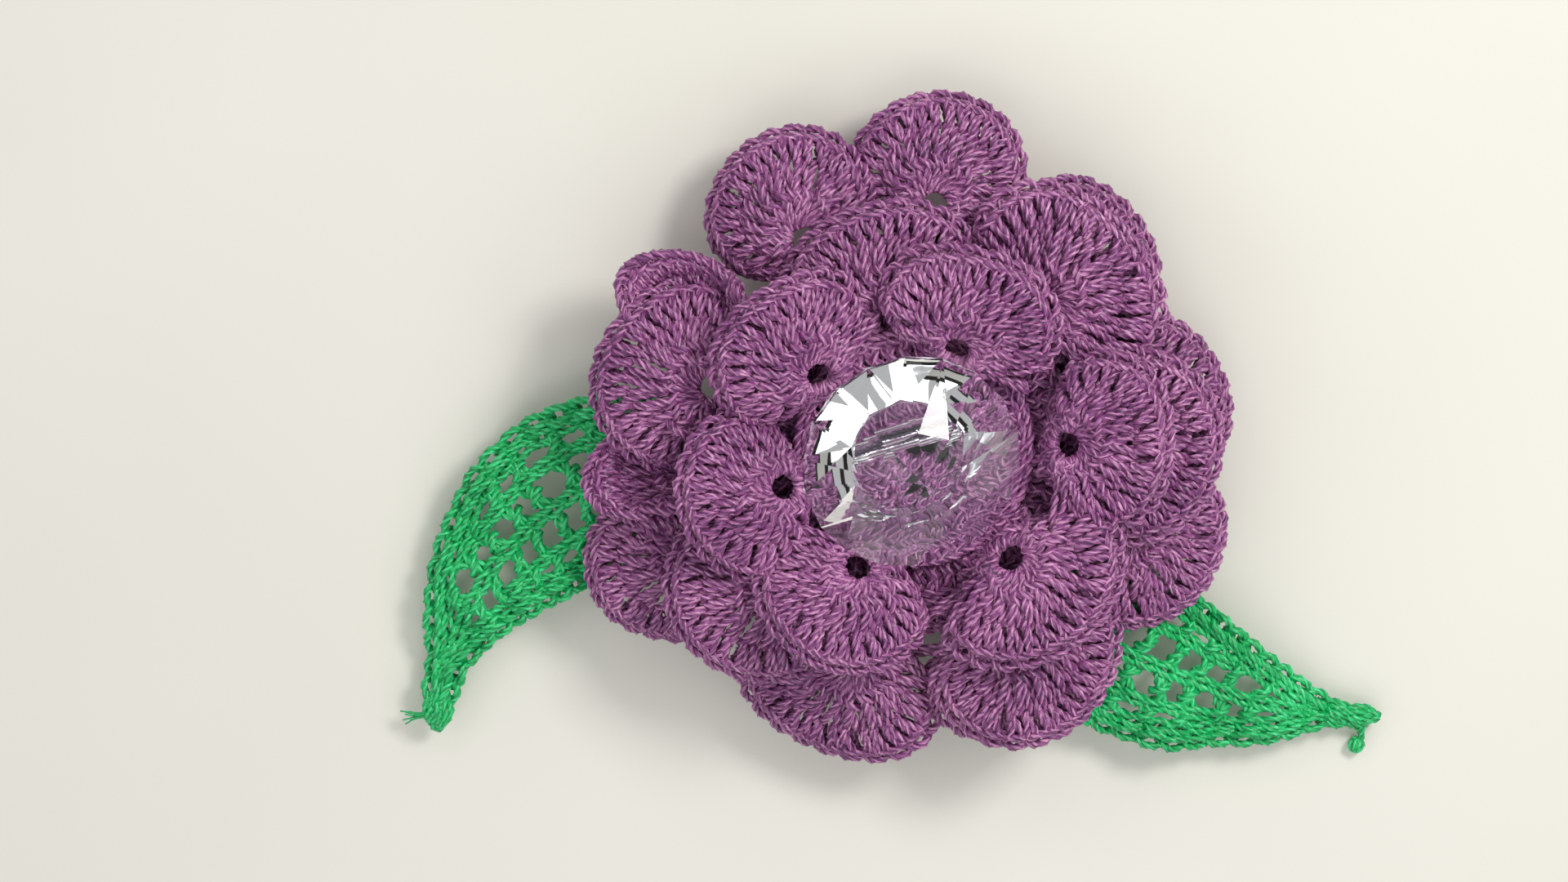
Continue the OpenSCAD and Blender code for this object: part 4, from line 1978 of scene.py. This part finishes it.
@dataclass
class Studio:
    """Floor, lights and camera.

    Attributes:
        aim: Point looked at, in millimetres.
        distance: Distance from the camera to that point.
        tilt: How far the camera stands above the face's normal, in degrees.
        frame_width: Width of the view at the aim.
        cards: Number of small soft lights in a ring, which give the facets their sparkle.
        card_side: Side of each card.
        card_watts: Power of each card.
        card_reach: Distance of the cards from the flower's axis.
        card_height: Height of the cards.
        air: Strength of the even light from all round.
        floor_half: Half the side of the floor.
    """

    aim: tuple[float, float, float] = (-11.9, 0.2, 4.0)
    distance: float = 400.0
    tilt: float = 8.0
    frame_width: float = 144.9
    cards: int = 7
    card_side: float = 110.0
    card_watts: float = 0.055
    card_reach: float = 240.0
    card_height: float = 230.0
    air: float = 0.5
    floor_half: float = 3000.0

    def build(self) -> None:
        """Builds floor, camera, lights and world."""
        self.floor()
        self.camera()
        self.area("key_softbox", (170, 150, 260), 90, 0.56, "FFFDF9")
        self.area("top_softbox", (-40, -120, 430), 260, 0.22, "FFFFFF")
        self.card_ring()
        self.world()
        bpy.context.scene.view_settings.view_transform = "Standard"

    def card_ring(self) -> None:
        """Hangs the cards in a ring, turned so that none stands straight over a side."""
        first = 0.35
        for n in range(self.cards):
            turn = TAU * (n + first) / self.cards
            x, y = self.card_reach * math.cos(turn), self.card_reach * math.sin(turn)
            place = (x, y, self.card_height)
            self.area(f"card_{n + 1}", place, self.card_side, self.card_watts, "FFFFFF")

    def world(self) -> None:
        """Fills the room with even, nearly white light."""
        world = bpy.data.worlds.new("studio_air")
        world.use_nodes = True
        tree = world.node_tree
        tree.nodes.clear()
        air = add_node(
            tree,
            "ShaderNodeBackground",
            {"Color": linear("F5F5F4"), "Strength": self.air},
        )
        add_node(tree, "ShaderNodeOutputWorld", {"Surface": air.outputs["Background"]})
        bpy.context.scene.world = world

    def floor(self) -> None:
        """Lays a wide plain board just under the lowest point of the brooch."""
        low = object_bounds()[0][2] / MM
        half = self.floor_half
        corners = np.array(
            [[-half, -half, low], [half, -half, low], [half, half, low], [-half, half, low]]
        )
        board = mesh_object(
            "floor",
            corners,
            np.arange(4),
            np.array([0]),
            PaleFloor().material(),
            shade_smooth=False,
        )
        board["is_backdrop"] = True

    def area(
        self,
        name: str,
        place: Sequence[float],
        size: float,
        watts: float,
        colour: str,
    ) -> None:
        """Hangs a square softbox that faces the aim.

        Args:
            name: Light's name.
            place: Its middle, in millimetres.
            size: Side of the square, in millimetres.
            watts: Power.
            colour: Hex colour.
        """
        light = bpy.data.lights.new(name, "AREA")
        light.size = size * MM
        light.energy = watts
        light.color = linear(colour)[:3]
        lamp = bpy.data.objects.new(name, light)
        lamp.location = Vector(place) * MM
        toward = Vector(self.aim) * MM - lamp.location
        lamp.rotation_euler = toward.to_track_quat("-Z", "Y").to_euler()
        bpy.context.scene.collection.objects.link(lamp)

    def camera(self) -> None:
        """Stands the camera over the face, leaning a little from above."""
        sensor = 36.0
        data = bpy.data.cameras.new("camera")
        data.sensor_width = sensor
        data.lens = sensor * self.distance / self.frame_width
        data.clip_start, data.clip_end = 0.01, 20.0
        camera = bpy.data.objects.new("camera", data)
        angle = math.radians(self.tilt)
        back = Vector((0.0, math.sin(angle), math.cos(angle)))
        camera.location = (Vector(self.aim) + back * self.distance) * MM
        camera.rotation_mode = "QUATERNION"
        right = Vector((1.0, 0.0, 0.0))
        axes = Matrix((right, back.cross(right), back)).transposed()
        camera.rotation_quaternion = axes.to_quaternion()
        bpy.context.scene.collection.objects.link(camera)
        bpy.context.scene.camera = camera


# -------------------------------------------------------------------------------- main


def main() -> None:
    """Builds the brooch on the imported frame, piece by piece."""
    logging.basicConfig(level=logging.INFO, format="%(name)s %(message)s")
    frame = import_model()
    # each cotton's deep and bright are painted shade in the ply grooves and painted highlight
    # on the ply tops
    purple = MercerisedCotton(
        "mercerised_cotton_purple", deep="30103A", body="8C4583", bright="E6A8D2"
    ).material()
    green = MercerisedCotton(
        "mercerised_cotton_green",
        deep="05693A",
        body="0AB860",
        bright="4EF0A2",
        roughness=0.34,
        sheen_tint="9CF2C4",
    ).material()
    thread = MercerisedCotton(
        "twisted_polyester_thread", deep="160A1C", body="2A1432", bright="54305C"
    ).material()
    Flower(purple).build()
    Rounds(purple).build()
    left = LeafCloth(
        node="left_leaf",
        heading=-136.5,
        turn=83,
        length=42,
        width=16,
        downhill=-166,
        tip=1.7,
    )
    Leaf(left, green, seed=51, tail=Tail.FRAYED).build()
    right = LeafCloth(
        node="right_leaf",
        heading=-23.5,
        turn=37,
        length=38,
        width=15.6,
        downhill=-42,
        tip=1.0,
    )
    Leaf(right, green, seed=52, tail=Tail.KNOTTED).build()
    seat = Seat()
    StoneThread(seat, thread).build()
    dress_node(frame["nodes"]["stone"], ClearAcrylic().material())
    FeltBacking(PressedFelt().material()).build()
    Pin(NickelPlate().material()).build(frame)
    BarStitches(thread).build()
    Studio().build()


if __name__ == "__main__":
    main()
